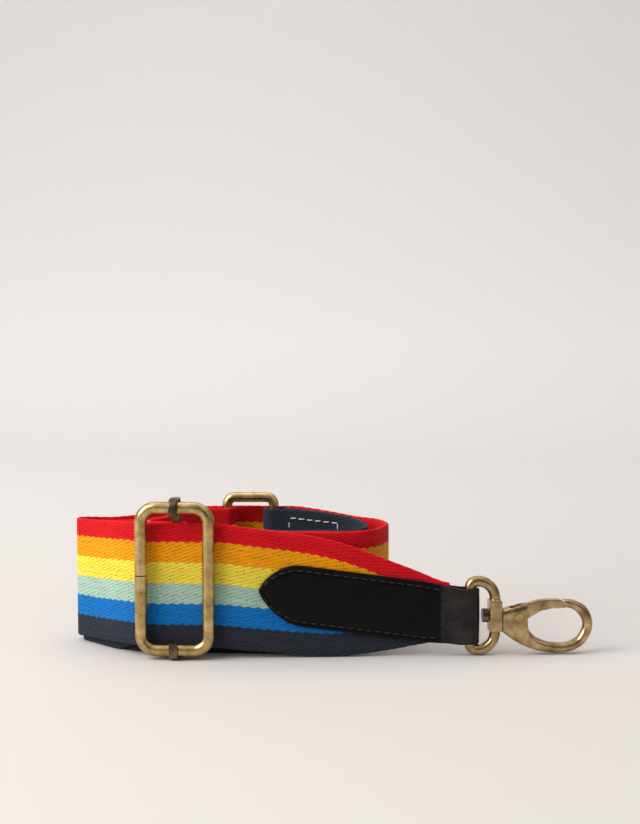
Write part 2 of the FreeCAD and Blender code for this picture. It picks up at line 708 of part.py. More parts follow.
def hook_placement(letter):
    """Hook a points straight out of its tab; hook b is folded back into the coil."""
    eye, _ = eye_point(letter)
    turn = math.degrees(FRONT_RIGHT) if letter == "a" else 20.0
    return Placement(Vector(eye.x, eye.y, eye_z(letter)), Rotation(Vector(0, 0, 1), turn))


# ---------------------------------------------------------------- the whole strap

node("main_webbing", main_webbing())
node("sewn_end", sewn_end())
node("short_webbing", short_webbing())
node("slider_end_stitching", slider_end_stitching())
node("ring_box_stitching", ring_box_stitching())
slider_frame()
slider_bar()
rectangular_ring()
for side in ("a", "b"):
    node(f"tab_{side}_leather", leather_tab(side))
    node(f"tab_{side}_stitching", tab_stitching(side))
    snap_hook(side, hook_placement(side))

doc.recompute()
whole = FreeCAD.BoundBox()
for made in NODES.values():
    whole.add(made.Shape.optimalBoundingBox(False, False))
shift = Vector(-whole.Center.x, -whole.Center.y, -whole.ZMin)
for made in NODES.values():
    made.Placement = Placement(shift, Rotation()).multiply(made.Placement)
doc.recompute()

for item in doc.Objects:
    if "Invalid" in item.State or "Error" in item.State:
        raise RuntimeError(f"{item.Label} did not recompute")
for name, made in NODES.items():
    if made.Shape.isNull() or not made.Shape.isValid():
        raise RuntimeError(f"{name} has no valid shape")

os.makedirs("parts", exist_ok=True)
for name, made in NODES.items():
    made.Shape.exportStep(f"parts/{name}.step")
print("origin moved by", round(shift.x, 3), round(shift.y, 3), round(shift.z, 3))
print("whole", round(whole.XLength, 2), round(whole.YLength, 2), round(whole.ZLength, 2))
print("nodes", len(NODES))
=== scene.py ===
"""A luggage strap of striped webbing, coiled on edge, with leather tabs and brass fittings.

The frame's coordinates are metres. Routes, heights and sections are worked out in millimetres
from the layout's own origin, whose place in the frame is found from the ring; place() turns
one into the other. In plan, +X is to the right and +Y is away from the camera.
"""
import math

import bmesh
import bpy
import numpy as np
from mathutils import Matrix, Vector


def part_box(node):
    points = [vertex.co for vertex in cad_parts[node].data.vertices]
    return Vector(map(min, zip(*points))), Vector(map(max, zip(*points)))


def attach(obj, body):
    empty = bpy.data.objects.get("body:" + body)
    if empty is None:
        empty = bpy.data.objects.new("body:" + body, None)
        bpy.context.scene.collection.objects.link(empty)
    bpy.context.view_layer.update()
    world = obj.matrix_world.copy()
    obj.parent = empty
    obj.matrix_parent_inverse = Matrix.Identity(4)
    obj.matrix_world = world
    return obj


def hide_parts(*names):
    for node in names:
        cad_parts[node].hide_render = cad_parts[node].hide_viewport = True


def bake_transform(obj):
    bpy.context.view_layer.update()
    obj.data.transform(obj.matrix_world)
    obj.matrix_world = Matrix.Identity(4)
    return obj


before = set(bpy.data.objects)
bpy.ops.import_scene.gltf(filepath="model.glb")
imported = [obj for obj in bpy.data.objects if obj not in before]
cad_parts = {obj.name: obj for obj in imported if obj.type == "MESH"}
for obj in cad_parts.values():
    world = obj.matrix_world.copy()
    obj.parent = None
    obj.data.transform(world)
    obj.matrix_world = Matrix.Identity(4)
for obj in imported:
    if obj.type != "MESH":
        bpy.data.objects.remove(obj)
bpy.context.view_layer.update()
MM = 0.001

# ---------------------------------------------------------------- sizes taken from the frame

ring_low, ring_high = (np.array(corner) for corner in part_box("rectangular_ring"))
slider_low = np.array(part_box("slider_frame")[0])
WIRE = ring_high[1] - ring_low[1]
RING_PLAN = (-41.0, 56.0)
SHIFT = np.array([ring_low[0] + WIRE / 2 - RING_PLAN[0] * MM, ring_low[1] + WIRE / 2 - RING_PLAN[1] * MM])

# ---------------------------------------------------------------- sizes of the layout

# Webbing and its weave, in metres, and its half thickness in the layout's millimetres.
WIDTH = 0.050
THICK = 0.0016
WEB_HALF = THICK / MM / 2
TWILL_REPEAT = 0.00384
WARP_PITCH = 0.00046

# The coil: its ends and depth, the step between layers, and the front run's two slopes.
LEFT, RIGHT, DEPTH = -103.5, 28.5, 61.0
PITCH = 2.2
FRONT_RIGHT, FRONT_LEFT = math.radians(3.4), math.radians(3.0)
BEND = (-31.0, 0.6)

# The slider's bar: its place, the webbing's lift there, and the fold of the webbing round it.
BAR_X = -58.0
LIFT = 4.2
SLIDER_GAP = 0.35
BAR_FOLD = 1.7

# The webbing's folds round the ring's uprights, and its lift between the ring's rails.
NEAR_GAP = 0.15
FOLD = 2.2 + NEAR_GAP + WEB_HALF
FOLD_FAR_ROOM = 1.5
RING_LIFT = 5.1
RING_ACROSS = 20.4

# Leather tabs: half their thickness, each eye's plan place, height and heading, and the
# outline of a tab.
HALF_HIDE = 0.75
EYE_WIRE = 4.4
EYE_A = (60.3, BEND[1] + (60.3 - BEND[0]) * math.tan(FRONT_RIGHT))
EYE_A_Z = 16.15
EYE_B = (-78.0, 23.4)
EYE_B_Z = 36.5
EYE_B_HEADING = math.radians(120)
HOOK_B_HEADING = math.radians(20)
TAB_LONG, TAB_WIDE, LOOP_WIDE, TIP_LONG = 85.0, 24.8, 22.6, 18.0
TIP_A_Z, TIP_B_Z = 27.5, 25.0
LOOP_LONG = 13.0

# Stitches: pitch, length, thread thickness, and how far in from the leather's edge they lie.
STITCH_PITCH = 3.7
STITCH_LONG = 2.7
THREAD = 0.5
STITCH_INSET = 2.1


def front_y(x):
    """Plan place of the front run's middle at x."""
    slope = math.tan(FRONT_RIGHT) if x > BEND[0] else -math.tan(FRONT_LEFT)
    return BEND[1] + (x - BEND[0]) * slope


# ---------------------------------------------------------------- shared geometry

def smooth_path(points, step=0.6, share=0.5):
    """Even points along runs joined by tangent arcs, each arc half of the shorter run long."""
    pts = np.array(points, float)
    out = [pts[:1]]
    for a, b, c in zip(pts, pts[1:], pts[2:]):
        before, after = b - a, c - b
        cut = share * min(np.linalg.norm(before), np.linalg.norm(after))
        before, after = before / np.linalg.norm(before), after / np.linalg.norm(after)
        turn = math.atan2(before[0] * after[1] - before[1] * after[0], before @ after)
        if abs(turn) < 1e-4:
            out.append(np.array([b]))
            continue
        radius = cut / math.tan(abs(turn) / 2)
        way = math.copysign(1, turn)
        centre = b - before * cut + np.array([-before[1], before[0]]) * way * radius
        start = math.atan2(*(b - before * cut - centre)[::-1])
        steps = max(3, int(abs(turn) / 0.12))
        angles = start + turn * np.linspace(0, 1, steps)
        out.append(centre + radius * np.stack([np.cos(angles), np.sin(angles)], 1))
    out.append(pts[-1:])
    line = np.concatenate(out)
    gap = np.linalg.norm(np.diff(line, axis=0), axis=1)
    line = line[np.concatenate([[True], gap > 1e-6])]
    along = np.concatenate([[0], np.cumsum(np.linalg.norm(np.diff(line, axis=0), axis=1))])
    even = np.linspace(0, along[-1], max(8, int(along[-1] / step)))
    return np.stack([np.interp(even, along, line[:, k]) for k in (0, 1)], 1), even


def side_of(line):
    """Unit vectors to the left of a plan line."""
    run = np.gradient(line, axis=0)
    run /= np.linalg.norm(run, axis=1)[:, None]
    return np.stack([-run[:, 1], run[:, 0]], 1)


def linked(name, mesh, material=None):
    """A new object in the scene, with its one material."""
    made = bpy.data.objects.new(name, mesh)
    bpy.context.collection.objects.link(made)
    if material is not None:
        mesh.materials.append(material)
    return made


def smooth_shaded(mesh):
    """Every face shaded smooth."""
    mesh.polygons.foreach_set("use_smooth", np.ones(len(mesh.polygons), bool))


def outward(made):
    """Merges doubles and turns every face outwards."""
    work = bmesh.new()
    work.from_mesh(made.data)
    bmesh.ops.remove_doubles(work, verts=work.verts, dist=1e-7)
    bmesh.ops.recalc_face_normals(work, faces=work.faces)
    work.to_mesh(made.data)
    work.free()


def grid_mesh(name, points, uv, material, closed=True):
    """A mesh from a grid of points, rows along the piece and columns round its section.

    points is rows x columns x 3 and uv is rows x columns x 2. A closed section has capped ends
    and one more uv column, so that the pattern has no seam jump.
    """
    rows, cols = points.shape[:2]
    wrap = cols if closed else cols - 1
    r = np.arange(rows - 1)[:, None]
    c = np.arange(wrap)[None, :]
    near, far, beside = r * cols + c, (r + 1) * cols + c, (c + 1) % cols
    quads = np.stack([near, far, (r + 1) * cols + beside, r * cols + beside], -1)
    faces = quads.reshape(-1, 4).tolist()
    if closed:
        faces += [list(range(cols)), [(rows - 1) * cols + k for k in range(cols)][::-1]]
    mesh = bpy.data.meshes.new(name)
    mesh.from_pydata(points.reshape(-1, 3).tolist(), [], faces)
    layer = mesh.uv_layers.new(name="cloth")
    flat = uv.reshape(-1, uv.shape[-1])
    width = uv.shape[1]
    start, end = r * width + c, (r + 1) * width + c
    corner = quads if width == cols else np.stack([start, end, end + 1, start + 1], -1)
    values = flat[corner.reshape(-1)]
    pad = len(mesh.loops) - len(values)
    if pad:
        values = np.concatenate([values, np.tile(values[:1], (pad, 1))])
    layer.data.foreach_set("uv", values.astype(np.float32).reshape(-1))
    smooth_shaded(mesh)
    mesh.validate()
    made = linked(name, mesh, material)
    outward(made)
    return made


def ease(t):
    """Nought to one along 3t^2 - 2t^3, held at its ends."""
    t = np.clip(t, 0, 1)
    return t * t * (3 - 2 * t)


# ---------------------------------------------------------------- materials

def rgb(red, green, blue):
    """Linear colour from a screen colour in 0 to 255."""
    def line(value):
        value /= 255
        return value / 12.92 if value <= 0.04045 else ((value + 0.055) / 1.055) ** 2.4
    return (line(red), line(green), line(blue), 1)


class Nodes:
    """A short way to add linked nodes to a tree."""

    def __init__(self, tree):
        self.tree = tree

    def add(self, kind, inputs=(), **settings):
        made = self.tree.nodes.new(kind)
        for key, value in settings.items():
            setattr(made, key, value)
        for key, value in dict(inputs).items():
            if isinstance(value, bpy.types.NodeSocket):
                self.link(value, made.inputs[key])
            else:
                made.inputs[key].default_value = value
        return made

    def link(self, output, target):
        self.tree.links.new(output, target)

    def math(self, operation, first, second=0.0, third=0.0):
        made = self.add("ShaderNodeMath", operation=operation)
        for socket, value in zip(made.inputs, (first, second, third)):
            if isinstance(value, bpy.types.NodeSocket):
                self.link(value, socket)
            else:
                socket.default_value = value
        return made.outputs[0]


def group(name, inputs, outputs):
    """An empty node group with float or colour sockets, and its helper."""
    tree = bpy.data.node_groups.new(name, "ShaderNodeTree")
    for label, kind in inputs:
        tree.interface.new_socket(label, in_out="INPUT", socket_type=kind)
    for label, kind in outputs:
        tree.interface.new_socket(label, in_out="OUTPUT", socket_type=kind)
    work = Nodes(tree)
    return tree, work, work.add("NodeGroupInput"), work.add("NodeGroupOutput")


def twill_group():
    """Twill: each warp end floats over most of a repeat, a third of one on from its neighbour.

    Puts out the cloth's height, the painted shade in the gaps between the floats, and the warp end's own
    random shade.
    """
    tree, n, inp, out = group(
        "twill", [("Along", "NodeSocketFloat"), ("Across", "NodeSocketFloat")],
        [("Height", "NodeSocketFloat"), ("GapShade", "NodeSocketFloat"), ("Shade", "NodeSocketFloat")])
    end = n.math("DIVIDE", inp.outputs["Across"], WARP_PITCH)
    number = n.math("FLOOR", end)
    inside = n.math("SUBTRACT", end, number)
    repeats = n.math("DIVIDE", inp.outputs["Along"], TWILL_REPEAT)
    shifted = n.math("ADD", repeats, n.math("DIVIDE", number, 3.0))
    phase = n.math("FRACT", n.math("ADD", shifted, 1000.0))
    floating = n.math("MINIMUM", n.math("DIVIDE", phase, 0.86), 1.0)
    float_part = n.math("SINE", n.math("MULTIPLY", floating, math.pi))
    crown = n.math("SINE", n.math("MULTIPLY", inside, math.pi))
    lifted = n.math("POWER", n.math("MAXIMUM", float_part, 0.0), 0.5)
    height = n.math("MULTIPLY", lifted, n.math("POWER", n.math("MAXIMUM", crown, 0.0), 0.5))
    noise = n.add("ShaderNodeTexWhiteNoise", noise_dimensions="1D", inputs={"W": number})
    pick = n.math("MULTIPLY_ADD", number, 17.31, n.math("FLOOR", shifted))
    chance = n.add("ShaderNodeTexWhiteNoise", noise_dimensions="1D", inputs={"W": pick})
    depth = n.math("MULTIPLY_ADD", chance.outputs["Value"], 0.7, 0.45)
    # Painted shade: this darkens the cloth where it lies low between the floats, by a random depth for each
    # float.
    gap = n.math("MULTIPLY", n.math("SUBTRACT", 1.0, height), depth)
    n.link(height, out.inputs["Height"])
    n.link(gap, out.inputs["GapShade"])
    n.link(noise.outputs["Value"], out.inputs["Shade"])
    return tree


def wear_group():
    """Plate wear: fine brushing, soft blotches and small pits, from object coordinates."""
    tree, n, inp, out = group(
        "plate_wear", [("Scale", "NodeSocketFloat")],
        [("Blotch", "NodeSocketFloat"), ("Grain", "NodeSocketFloat"), ("Pit", "NodeSocketFloat")])
    where = n.add("ShaderNodeTexCoord").outputs["Object"]
    blotch = n.add("ShaderNodeTexNoise", {"Vector": where, "Scale": inp.outputs["Scale"], "Detail": 4.0})
    grain_scale = n.math("MULTIPLY", inp.outputs["Scale"], 14.0)
    grain = n.add("ShaderNodeTexNoise", {"Vector": where, "Scale": grain_scale, "Detail": 3.0})
    pit_scale = n.math("MULTIPLY", inp.outputs["Scale"], 9.0)
    pit = n.add("ShaderNodeTexVoronoi", {"Vector": where, "Scale": pit_scale})
    n.link(blotch.outputs["Fac"], out.inputs["Blotch"])
    n.link(grain.outputs["Fac"], out.inputs["Grain"])
    n.link(n.math("LESS_THAN", pit.outputs["Distance"], 0.16), out.inputs["Pit"])
    return tree


TWILL = twill_group()
WEAR = wear_group()
JOINT_LINE = 0.00022


def blank(name):
    """A new material, its helper and its Principled shader."""
    material = bpy.data.materials.new(name)
    material.use_nodes = True
    work = Nodes(material.node_tree)
    shader = next(node for node in material.node_tree.nodes if node.type == "BSDF_PRINCIPLED")
    return material, work, shader


# From the lower edge up: navy, blue, pale green, yellow, orange and red. A stripe's edge is
# toothed by one step of the twill, and the navy stripe is wider than the red by about twice the shift.
STRIPES = [rgb(46, 50, 61), rgb(14, 116, 196), rgb(172, 204, 185), rgb(249, 224, 74), rgb(249, 162, 14),
           rgb(222, 18, 30)]
STRIPE_SHIFT = 0.0012
STRIPE_TOOTH = 0.0011


def tinted(n, shader, colour, light):
    """The shader's base colour: a colour multiplied by a value."""
    mixed = n.add("ShaderNodeMix", data_type="RGBA", blend_type="MULTIPLY")
    mixed.inputs[0].default_value = 1.0
    n.link(colour, mixed.inputs[6])
    n.link(light, mixed.inputs[7])
    n.link(mixed.outputs[2], shader.inputs["Base Color"])


def bumped(n, shader, height, distance, strength):
    """A bump from a height, on the shader's normal."""
    bump = n.add("ShaderNodeBump", {"Height": height, "Distance": distance, "Strength": strength})
    n.link(bump.outputs["Normal"], shader.inputs["Normal"])


def webbing_material():
    """Six woven stripes with toothed edges, over the twill, from the cloth's own coordinates."""
    material, n, shader = blank("striped_twill")
    where = n.add("ShaderNodeUVMap", uv_map="cloth").outputs["UV"]
    split = n.add("ShaderNodeSeparateXYZ", {"Vector": where})
    along, across = split.outputs["X"], split.outputs["Y"]
    twill = n.add("ShaderNodeGroup", node_tree=TWILL, inputs={})
    n.link(along, twill.inputs["Along"])
    n.link(across, twill.inputs["Across"])
    tooth = n.math("PINGPONG", n.math("DIVIDE", along, TWILL_REPEAT), 0.5)
    stepped = n.math("MULTIPLY_ADD", tooth, STRIPE_TOOTH, across)
    share = n.math("DIVIDE", n.math("SUBTRACT", stepped, STRIPE_SHIFT), WIDTH)
    ramp = n.add("ShaderNodeValToRGB", {"Fac": share})
    ramp.color_ramp.interpolation = "CONSTANT"
    spots = ramp.color_ramp.elements
    spots[0].position, spots[0].color = 0, STRIPES[0]
    spots[1].position, spots[1].color = 1 / len(STRIPES), STRIPES[1]
    for k in range(2, len(STRIPES)):
        spots.new(k / len(STRIPES)).color = STRIPES[k]
    mottled = n.add("ShaderNodeTexNoise", {"Vector": where, "Scale": 60.0, "Detail": 3.0})
    fuzz = n.add("ShaderNodeTexNoise", {"Vector": where, "Scale": 2600.0, "Detail": 2.0})
    light = n.math("MULTIPLY_ADD", mottled.outputs["Fac"], 0.16, 0.90)
    light = n.math("MULTIPLY", light, n.math("MULTIPLY_ADD", twill.outputs["Shade"], 0.12, 0.94))
    light = n.math("MULTIPLY", light, n.math("MULTIPLY_ADD", fuzz.outputs["Fac"], 0.24, 0.88))
    # Painted shade in the gaps between the floats, where the twill lies low.
    dark = n.math("POWER", twill.outputs["GapShade"], 1.8)
    light = n.math("MULTIPLY", light, n.math("MULTIPLY_ADD", dark, -0.56, 1.0))
    tinted(n, shader, ramp.outputs["Color"], light)
    raised = n.math("MULTIPLY_ADD", fuzz.outputs["Fac"], 0.25, twill.outputs["Height"])
    bumped(n, shader, raised, 0.00022, 0.8)
    shader.inputs["Roughness"].default_value = 0.86
    shader.inputs["Specular IOR Level"].default_value = 0.12
    shader.inputs["Sheen Weight"].default_value = 0.04
    shader.inputs["Sheen Roughness"].default_value = 0.5
    return material


def leather_material():
    """Smooth black leather: fine grain, faint creases, and a painted sheen, lighter grey, where it bends
    round the eye.
    """
    material, n, shader = blank("black_leather_finish")
    where = n.add("ShaderNodeTexCoord").outputs["Object"]
    grain = n.add("ShaderNodeTexVoronoi", {"Vector": where, "Scale": 1500.0}, feature="SMOOTH_F1")
    crease = n.add("ShaderNodeTexNoise", {"Vector": where, "Scale": 160.0, "Detail": 6.0})
    soft = n.add("ShaderNodeTexNoise", {"Vector": where, "Scale": 55.0, "Detail": 3.0})
    tone = n.add("ShaderNodeValToRGB", {"Fac": soft.outputs["Fac"]})
    tone.color_ramp.elements[0].color = (0.0010, 0.0009, 0.0009, 1)
    tone.color_ramp.elements[1].color = (0.0028, 0.0025, 0.0025, 1)
    # Painted sheen: over the loop round the eye the colour is mixed towards a lighter grey, streaked by the
    # creases.
    loop_x = (EYE_A[0] - LOOP_LONG) * MM + SHIFT[0]
    split = n.add("ShaderNodeSeparateXYZ", {"Vector": where})
    bent = n.add("ShaderNodeMapRange", {"Value": split.outputs["X"], "From Min": loop_x,
                                        "From Max": loop_x + 0.0025}, interpolation_type="SMOOTHSTEP")
    patchy = n.math("MULTIPLY_ADD", crease.outputs["Fac"], 1.6, -0.2)
    loop_sheen = n.math("MULTIPLY", bent.outputs["Result"], patchy)
    colour = n.add("ShaderNodeMix", data_type="RGBA")
    colour.inputs[7].default_value = (0.030, 0.027, 0.026, 1)
    n.link(loop_sheen, colour.inputs[0])
    n.link(tone.outputs["Color"], colour.inputs[6])
    n.link(colour.outputs[2], shader.inputs["Base Color"])
    height = n.math("MULTIPLY_ADD", crease.outputs["Fac"], 1.2, grain.outputs["Distance"])
    bumped(n, shader, height, 0.00009, 0.5)
    rough = n.math("MULTIPLY_ADD", crease.outputs["Fac"], 0.28, 0.20)
    n.link(rough, shader.inputs["Roughness"])
    shader.inputs["Specular IOR Level"].default_value = 0.12
    return material


def brass_material(name, dark, mid, bright, rough, joint=None):
    """Antique plate: warm blotches over a darker ground, brushed grain and small dark pits.

    joint is the X and Z of the line where a bent wire's two ends meet, on the side of lower X.
    """
    material, n, shader = blank(name)
    wear = n.add("ShaderNodeGroup", node_tree=WEAR)
    wear.inputs["Scale"].default_value = 240.0
    tone = n.add("ShaderNodeValToRGB", {"Fac": wear.outputs["Blotch"]})
    tone.color_ramp.elements[0].position, tone.color_ramp.elements[0].color = 0.18, dark
    tone.color_ramp.elements[1].position, tone.color_ramp.elements[1].color = 0.82, bright
    tone.color_ramp.elements.new(0.5).color = mid
    speck = n.math("MULTIPLY_ADD", wear.outputs["Grain"], 0.9, 0.50)
    speck = n.math("MULTIPLY", speck, n.math("MULTIPLY_ADD", wear.outputs["Pit"], -0.38, 1.0))
    if joint is not None:
        where = n.add("ShaderNodeTexCoord").outputs["Object"]
        split = n.add("ShaderNodeSeparateXYZ", {"Vector": where})
        away = n.math("ABSOLUTE", n.math("SUBTRACT", split.outputs["Z"], joint[1]))
        left = n.math("LESS_THAN", split.outputs["X"], joint[0])
        line = n.math("MULTIPLY", n.math("LESS_THAN", away, JOINT_LINE), left)
        speck = n.math("MULTIPLY", speck, n.math("MULTIPLY_ADD", line, -0.93, 1.0))
    tinted(n, shader, tone.outputs["Color"], speck)
    shine = n.math("MULTIPLY_ADD", wear.outputs["Grain"], 0.18, rough)
    n.link(shine, shader.inputs["Roughness"])
    bumped(n, shader, wear.outputs["Grain"], 0.00006, 0.35)
    shader.inputs["Metallic"].default_value = 1.0
    return material


def thread_material(name, colour, light):
    """Twisted sewing thread with a faint ply."""
    material, n, shader = blank(name)
    where = n.add("ShaderNodeTexCoord").outputs["Object"]
    ply = n.add("ShaderNodeTexNoise", {"Vector": where, "Scale": 3000.0})
    tone = n.add("ShaderNodeValToRGB", {"Fac": ply.outputs["Fac"]})
    tone.color_ramp.elements[0].color = colour
    tone.color_ramp.elements[1].color = light
    n.link(tone.outputs["Color"], shader.inputs["Base Color"])
    bumped(n, shader, ply.outputs["Fac"], 0.0001, 0.5)
    shader.inputs["Roughness"].default_value = 0.6
    return material


WEBBING = webbing_material()
HIDE = leather_material()
SLIDER_JOINT = (slider_low[0] + 0.008, slider_low[2] + 0.0325)
BRASS = brass_material("antique_brass_plate", rgb(140, 112, 66), rgb(206, 178, 120), rgb(240, 218, 166), 0.18)
SLIDER_BRASS = brass_material("slider_brass_plate", rgb(128, 102, 60), rgb(190, 162, 106), rgb(228, 204, 150),
                              0.20, joint=SLIDER_JOINT)
AGED = brass_material("aged_brass_plate", rgb(112, 88, 60), rgb(176, 148, 106), rgb(222, 198, 156), 0.17)
GUNMETAL = brass_material("dark_plate", rgb(52, 42, 32), rgb(98, 80, 60), rgb(158, 136, 106), 0.24)
STEEL = brass_material("bare_spring_wire", rgb(120, 118, 116), rgb(160, 158, 154), rgb(190, 188, 184), 0.3)
BLACK_THREAD = thread_material("black_waxed_thread", (0.003, 0.003, 0.003, 1), (0.022, 0.022, 0.024, 1))
WHITE_THREAD = thread_material("white_cotton_thread", (0.45, 0.46, 0.48, 1), (0.85, 0.86, 0.88, 1))


# ---------------------------------------------------------------- webbing routes

def nose(step):
    """The left end of the coil, step layers inside the outermost one: front, tip and back."""
    inside = step * PITCH
    return [(LEFT + 24.5 + 0.62 * inside, 8.2 + 1.05 * inside),
            (LEFT - 0.5 + 1.25 * inside, 33.0 + 0.05 * inside),
            (LEFT + 4 + 0.75 * inside, 40.0 - 0.85 * inside),
            (LEFT + 24 + 0.3 * inside, DEPTH - 15.4 - 1.05 * inside)]


def between(a, b, share=0.5):
    """A plan point on the run from a to b."""
    return tuple(p + (q - p) * share for p, q in zip(a, b))


TAB_END = EYE_A[0] - 8.3
SPLIT = between(nose(0)[0], nose(0)[1])
MIDDLE = nose(1)[::-1]
BACK_MIDDLE = (-40, DEPTH + 1.2)
RING_FRONT, RING_BACK = RING_PLAN[1] - FOLD, RING_PLAN[1] + FOLD
TO_RING = [(-58, DEPTH - 12.5), (-48, RING_FRONT), (RING_PLAN[0] + FOLD, RING_FRONT)]
FROM_RING = [(RING_PLAN[0] + FOLD, RING_BACK), (-48, RING_BACK - 0.3), (-58, DEPTH - 6.4)]
RING_START = between(nose(2)[-1], TO_RING[0])
RING_END = between(FROM_RING[-1], nose(1)[-1])
RETURN_END = between(MIDDLE[-2], MIDDLE[-1], 0.62)

FRONT = [(TAB_END, front_y(TAB_END)), (BEND[0] + 2, front_y(BEND[0] + 2)),
         (BEND[0] - 2, front_y(BEND[0] - 2)), (-70.0, front_y(-70.0)), nose(0)[0], SPLIT]
AT_BACK = [(-54, DEPTH - 1.0), BACK_MIDDLE, (-14.5, DEPTH + 0.2), (12, DEPTH - 5.5)]
AT_RIGHT = [(RIGHT - 4.5, DEPTH - 13), (RIGHT + 0.5, DEPTH - 26), (RIGHT - 2.5, 22), (20, 11.5)]
SECOND_FRONT = [(8, 6.9), (-44, 9.6), (-70, 11.4)]
COIL = nose(0)[1:] + AT_BACK + AT_RIGHT + SECOND_FRONT + nose(2) + [RING_START]
RING_PART = TO_RING + FROM_RING + [RING_END]
RETURN = MIDDLE[:-1] + [RETURN_END]
BAR_Y = front_y(BAR_X) + WEB_HALF + SLIDER_GAP + WEB_HALF + BAR_FOLD
SHORT_TURN = [(13, DEPTH - 16.8), (RIGHT - 9, DEPTH - 29), (RIGHT - 9.5, 19)]
SEAM = [(-15.0, 51.4), SHORT_TURN[0]]
TAB_B_START = (12.5, 11.6)
TAB_B_BEND_Y = 16.3
HEAD_A = np.array([math.cos(FRONT_RIGHT), math.sin(FRONT_RIGHT)])
HEAD_B = np.array([math.cos(EYE_B_HEADING), math.sin(EYE_B_HEADING)])
TAB_B_CORNER = np.array(EYE_B) - HEAD_B * ((EYE_B[1] - TAB_B_BEND_Y) / HEAD_B[1])


def place(plan, height):
    """Plan points in millimetres and heights in millimetres, as frame points in metres."""
    plan = np.asarray(plan, float)
    height = np.broadcast_to(np.asarray(height, float), plan.shape[:-1])
    return np.concatenate([plan * MM + SHIFT, height[..., None] * MM], -1)


def sway(along, across, amount, seed):
    """A slow wander made of three sines of different lengths."""
    a, b, c = np.random.default_rng(seed).uniform(0, 6.28, 3)
    return amount * (0.5 * np.sin(along / 17 + a) + 0.3 * np.sin(along / 7.3 + b + across / 19)
                     + 0.2 * np.sin(along / 3.1 + c - across / 11))


def pleated(across, low, high, whole):
    """Height of each warp end: true to both edges, with the spare width tucked in the middle.

    Near the lower edge it is low + across, near the upper edge high - (whole - across); between
    these, over half the spare width each side of the middle, it runs straight from one to the other.
    """
    spare = np.maximum(whole - (high - low), 0)
    half = spare / 2 + 0.6
    start, end = whole / 2 - half, whole / 2 + half
    share = np.clip((across - start) / (end - start), 0, 1)
    first, last = low + start, high - (whole - end)
    middle = first + (last - first) * share
    return np.where(across < start, low + across, np.where(across > end, high - (whole - across), middle))


# How far in from a selvedge the webbing is rounded, and how high its upper edge wanders.
SELVEDGE = 0.75
WANDER = 0.22


def ribbon(name, route, low, high, upside_down=False, step=0.7, wave=0.10):
    """A woven strip standing on edge along a plan route.

    Its section is a flat loop: up the left face, over a round selvedge and down the right face.
    Each section point sits at the route's point plus its own side distance, at the pleated
    height. low and high give the edges' heights from the route's points and their distances.
    """
    line, along = smooth_path(route, step)
    side = side_of(line)
    whole = WIDTH / MM
    bottom, top = low(line, along), high(line, along)
    rim = np.array([0.0, 0.12, 0.4])
    inner = np.concatenate([rim, np.linspace(1.1, whole - 1.1, 40), whole - rim[::-1]])
    edge = np.minimum(inner, whole - inner)
    swell = WEB_HALF * np.sqrt(np.clip(1 - (1 - np.clip(edge / SELVEDGE, 0, 1)) ** 2, 0, 1))
    across = np.concatenate([inner, inner[-2:0:-1]])
    out = np.concatenate([swell, -swell[-2:0:-1]])
    z = pleated(across[None, :], bottom[:, None], top[:, None], whole)
    grid_along = np.broadcast_to(along[:, None], z.shape)
    wander = sway(grid_along, across[None, :], wave, len(name))
    at_edge = np.exp(-np.minimum(across, whole - across) / 0.5)
    ripple = 0.06 * np.sin(grid_along * 2 * math.pi / (TWILL_REPEAT / MM)) * at_edge
    rise = sway(grid_along, 0 * across[None, :], WANDER, len(name) + 5) * (edge_share(across, whole) + 0.2)
    plan = line[:, None, :] + side[:, None, :] * (out[None, :] + wander)[..., None]
    points = place(plan, np.maximum(z + rise + ripple, 0.0))
    shown = whole - across if upside_down else across
    uv = np.stack([grid_along * MM, np.broadcast_to(shown[None, :] * MM, z.shape)], -1)
    return grid_mesh(name, points, np.concatenate([uv, uv[:, :1]], 1), WEBBING)


def edge_share(across, whole):
    """One at a selvedge, falling to nought in the middle."""
    return np.abs(across[None, :] / whole * 2 - 1)


def joined(*routes):
    """Routes end to end, without doubled points."""
    out = []
    for point in (p for route in routes for p in route):
        if not out or math.dist(out[-1], point) > 1e-6:
            out.append(tuple(point))
    return out


def nearest(line, point):
    """Which of the line's points lies nearest a plan point."""
    return int(np.argmin(np.linalg.norm(line - np.array(point), axis=1)))


# The front run is lifted over this reach each side of the slider, and by FRONT_LIFT at the
# coil's left end, from where it settles to the ground over SETTLE_LONG.
SLIDER_REACH = 19
FRONT_LIFT = 2.7
SETTLE_LONG = 60.0
# Behind the ring, over so many points of its route each way, the outer layer stands higher,
# by more at its upper edge than at its lower one. The webbing is raised between the ring's
# rails and so many points beyond, where its upper edge is tucked down by a little.
BACK_POINTS, RING_POINTS = 170, 40
BACK_RISE = {True: 3.4, False: 2.0}
RING_TUCK = {True: 1.4, False: 0.0}
SHORT_TUCK = {True: 1.6, False: 0.0}


def level_of(upper):
    """Height of an upper or lower edge where the webbing stands on the ground."""
    return WIDTH / MM if upper else 0.0


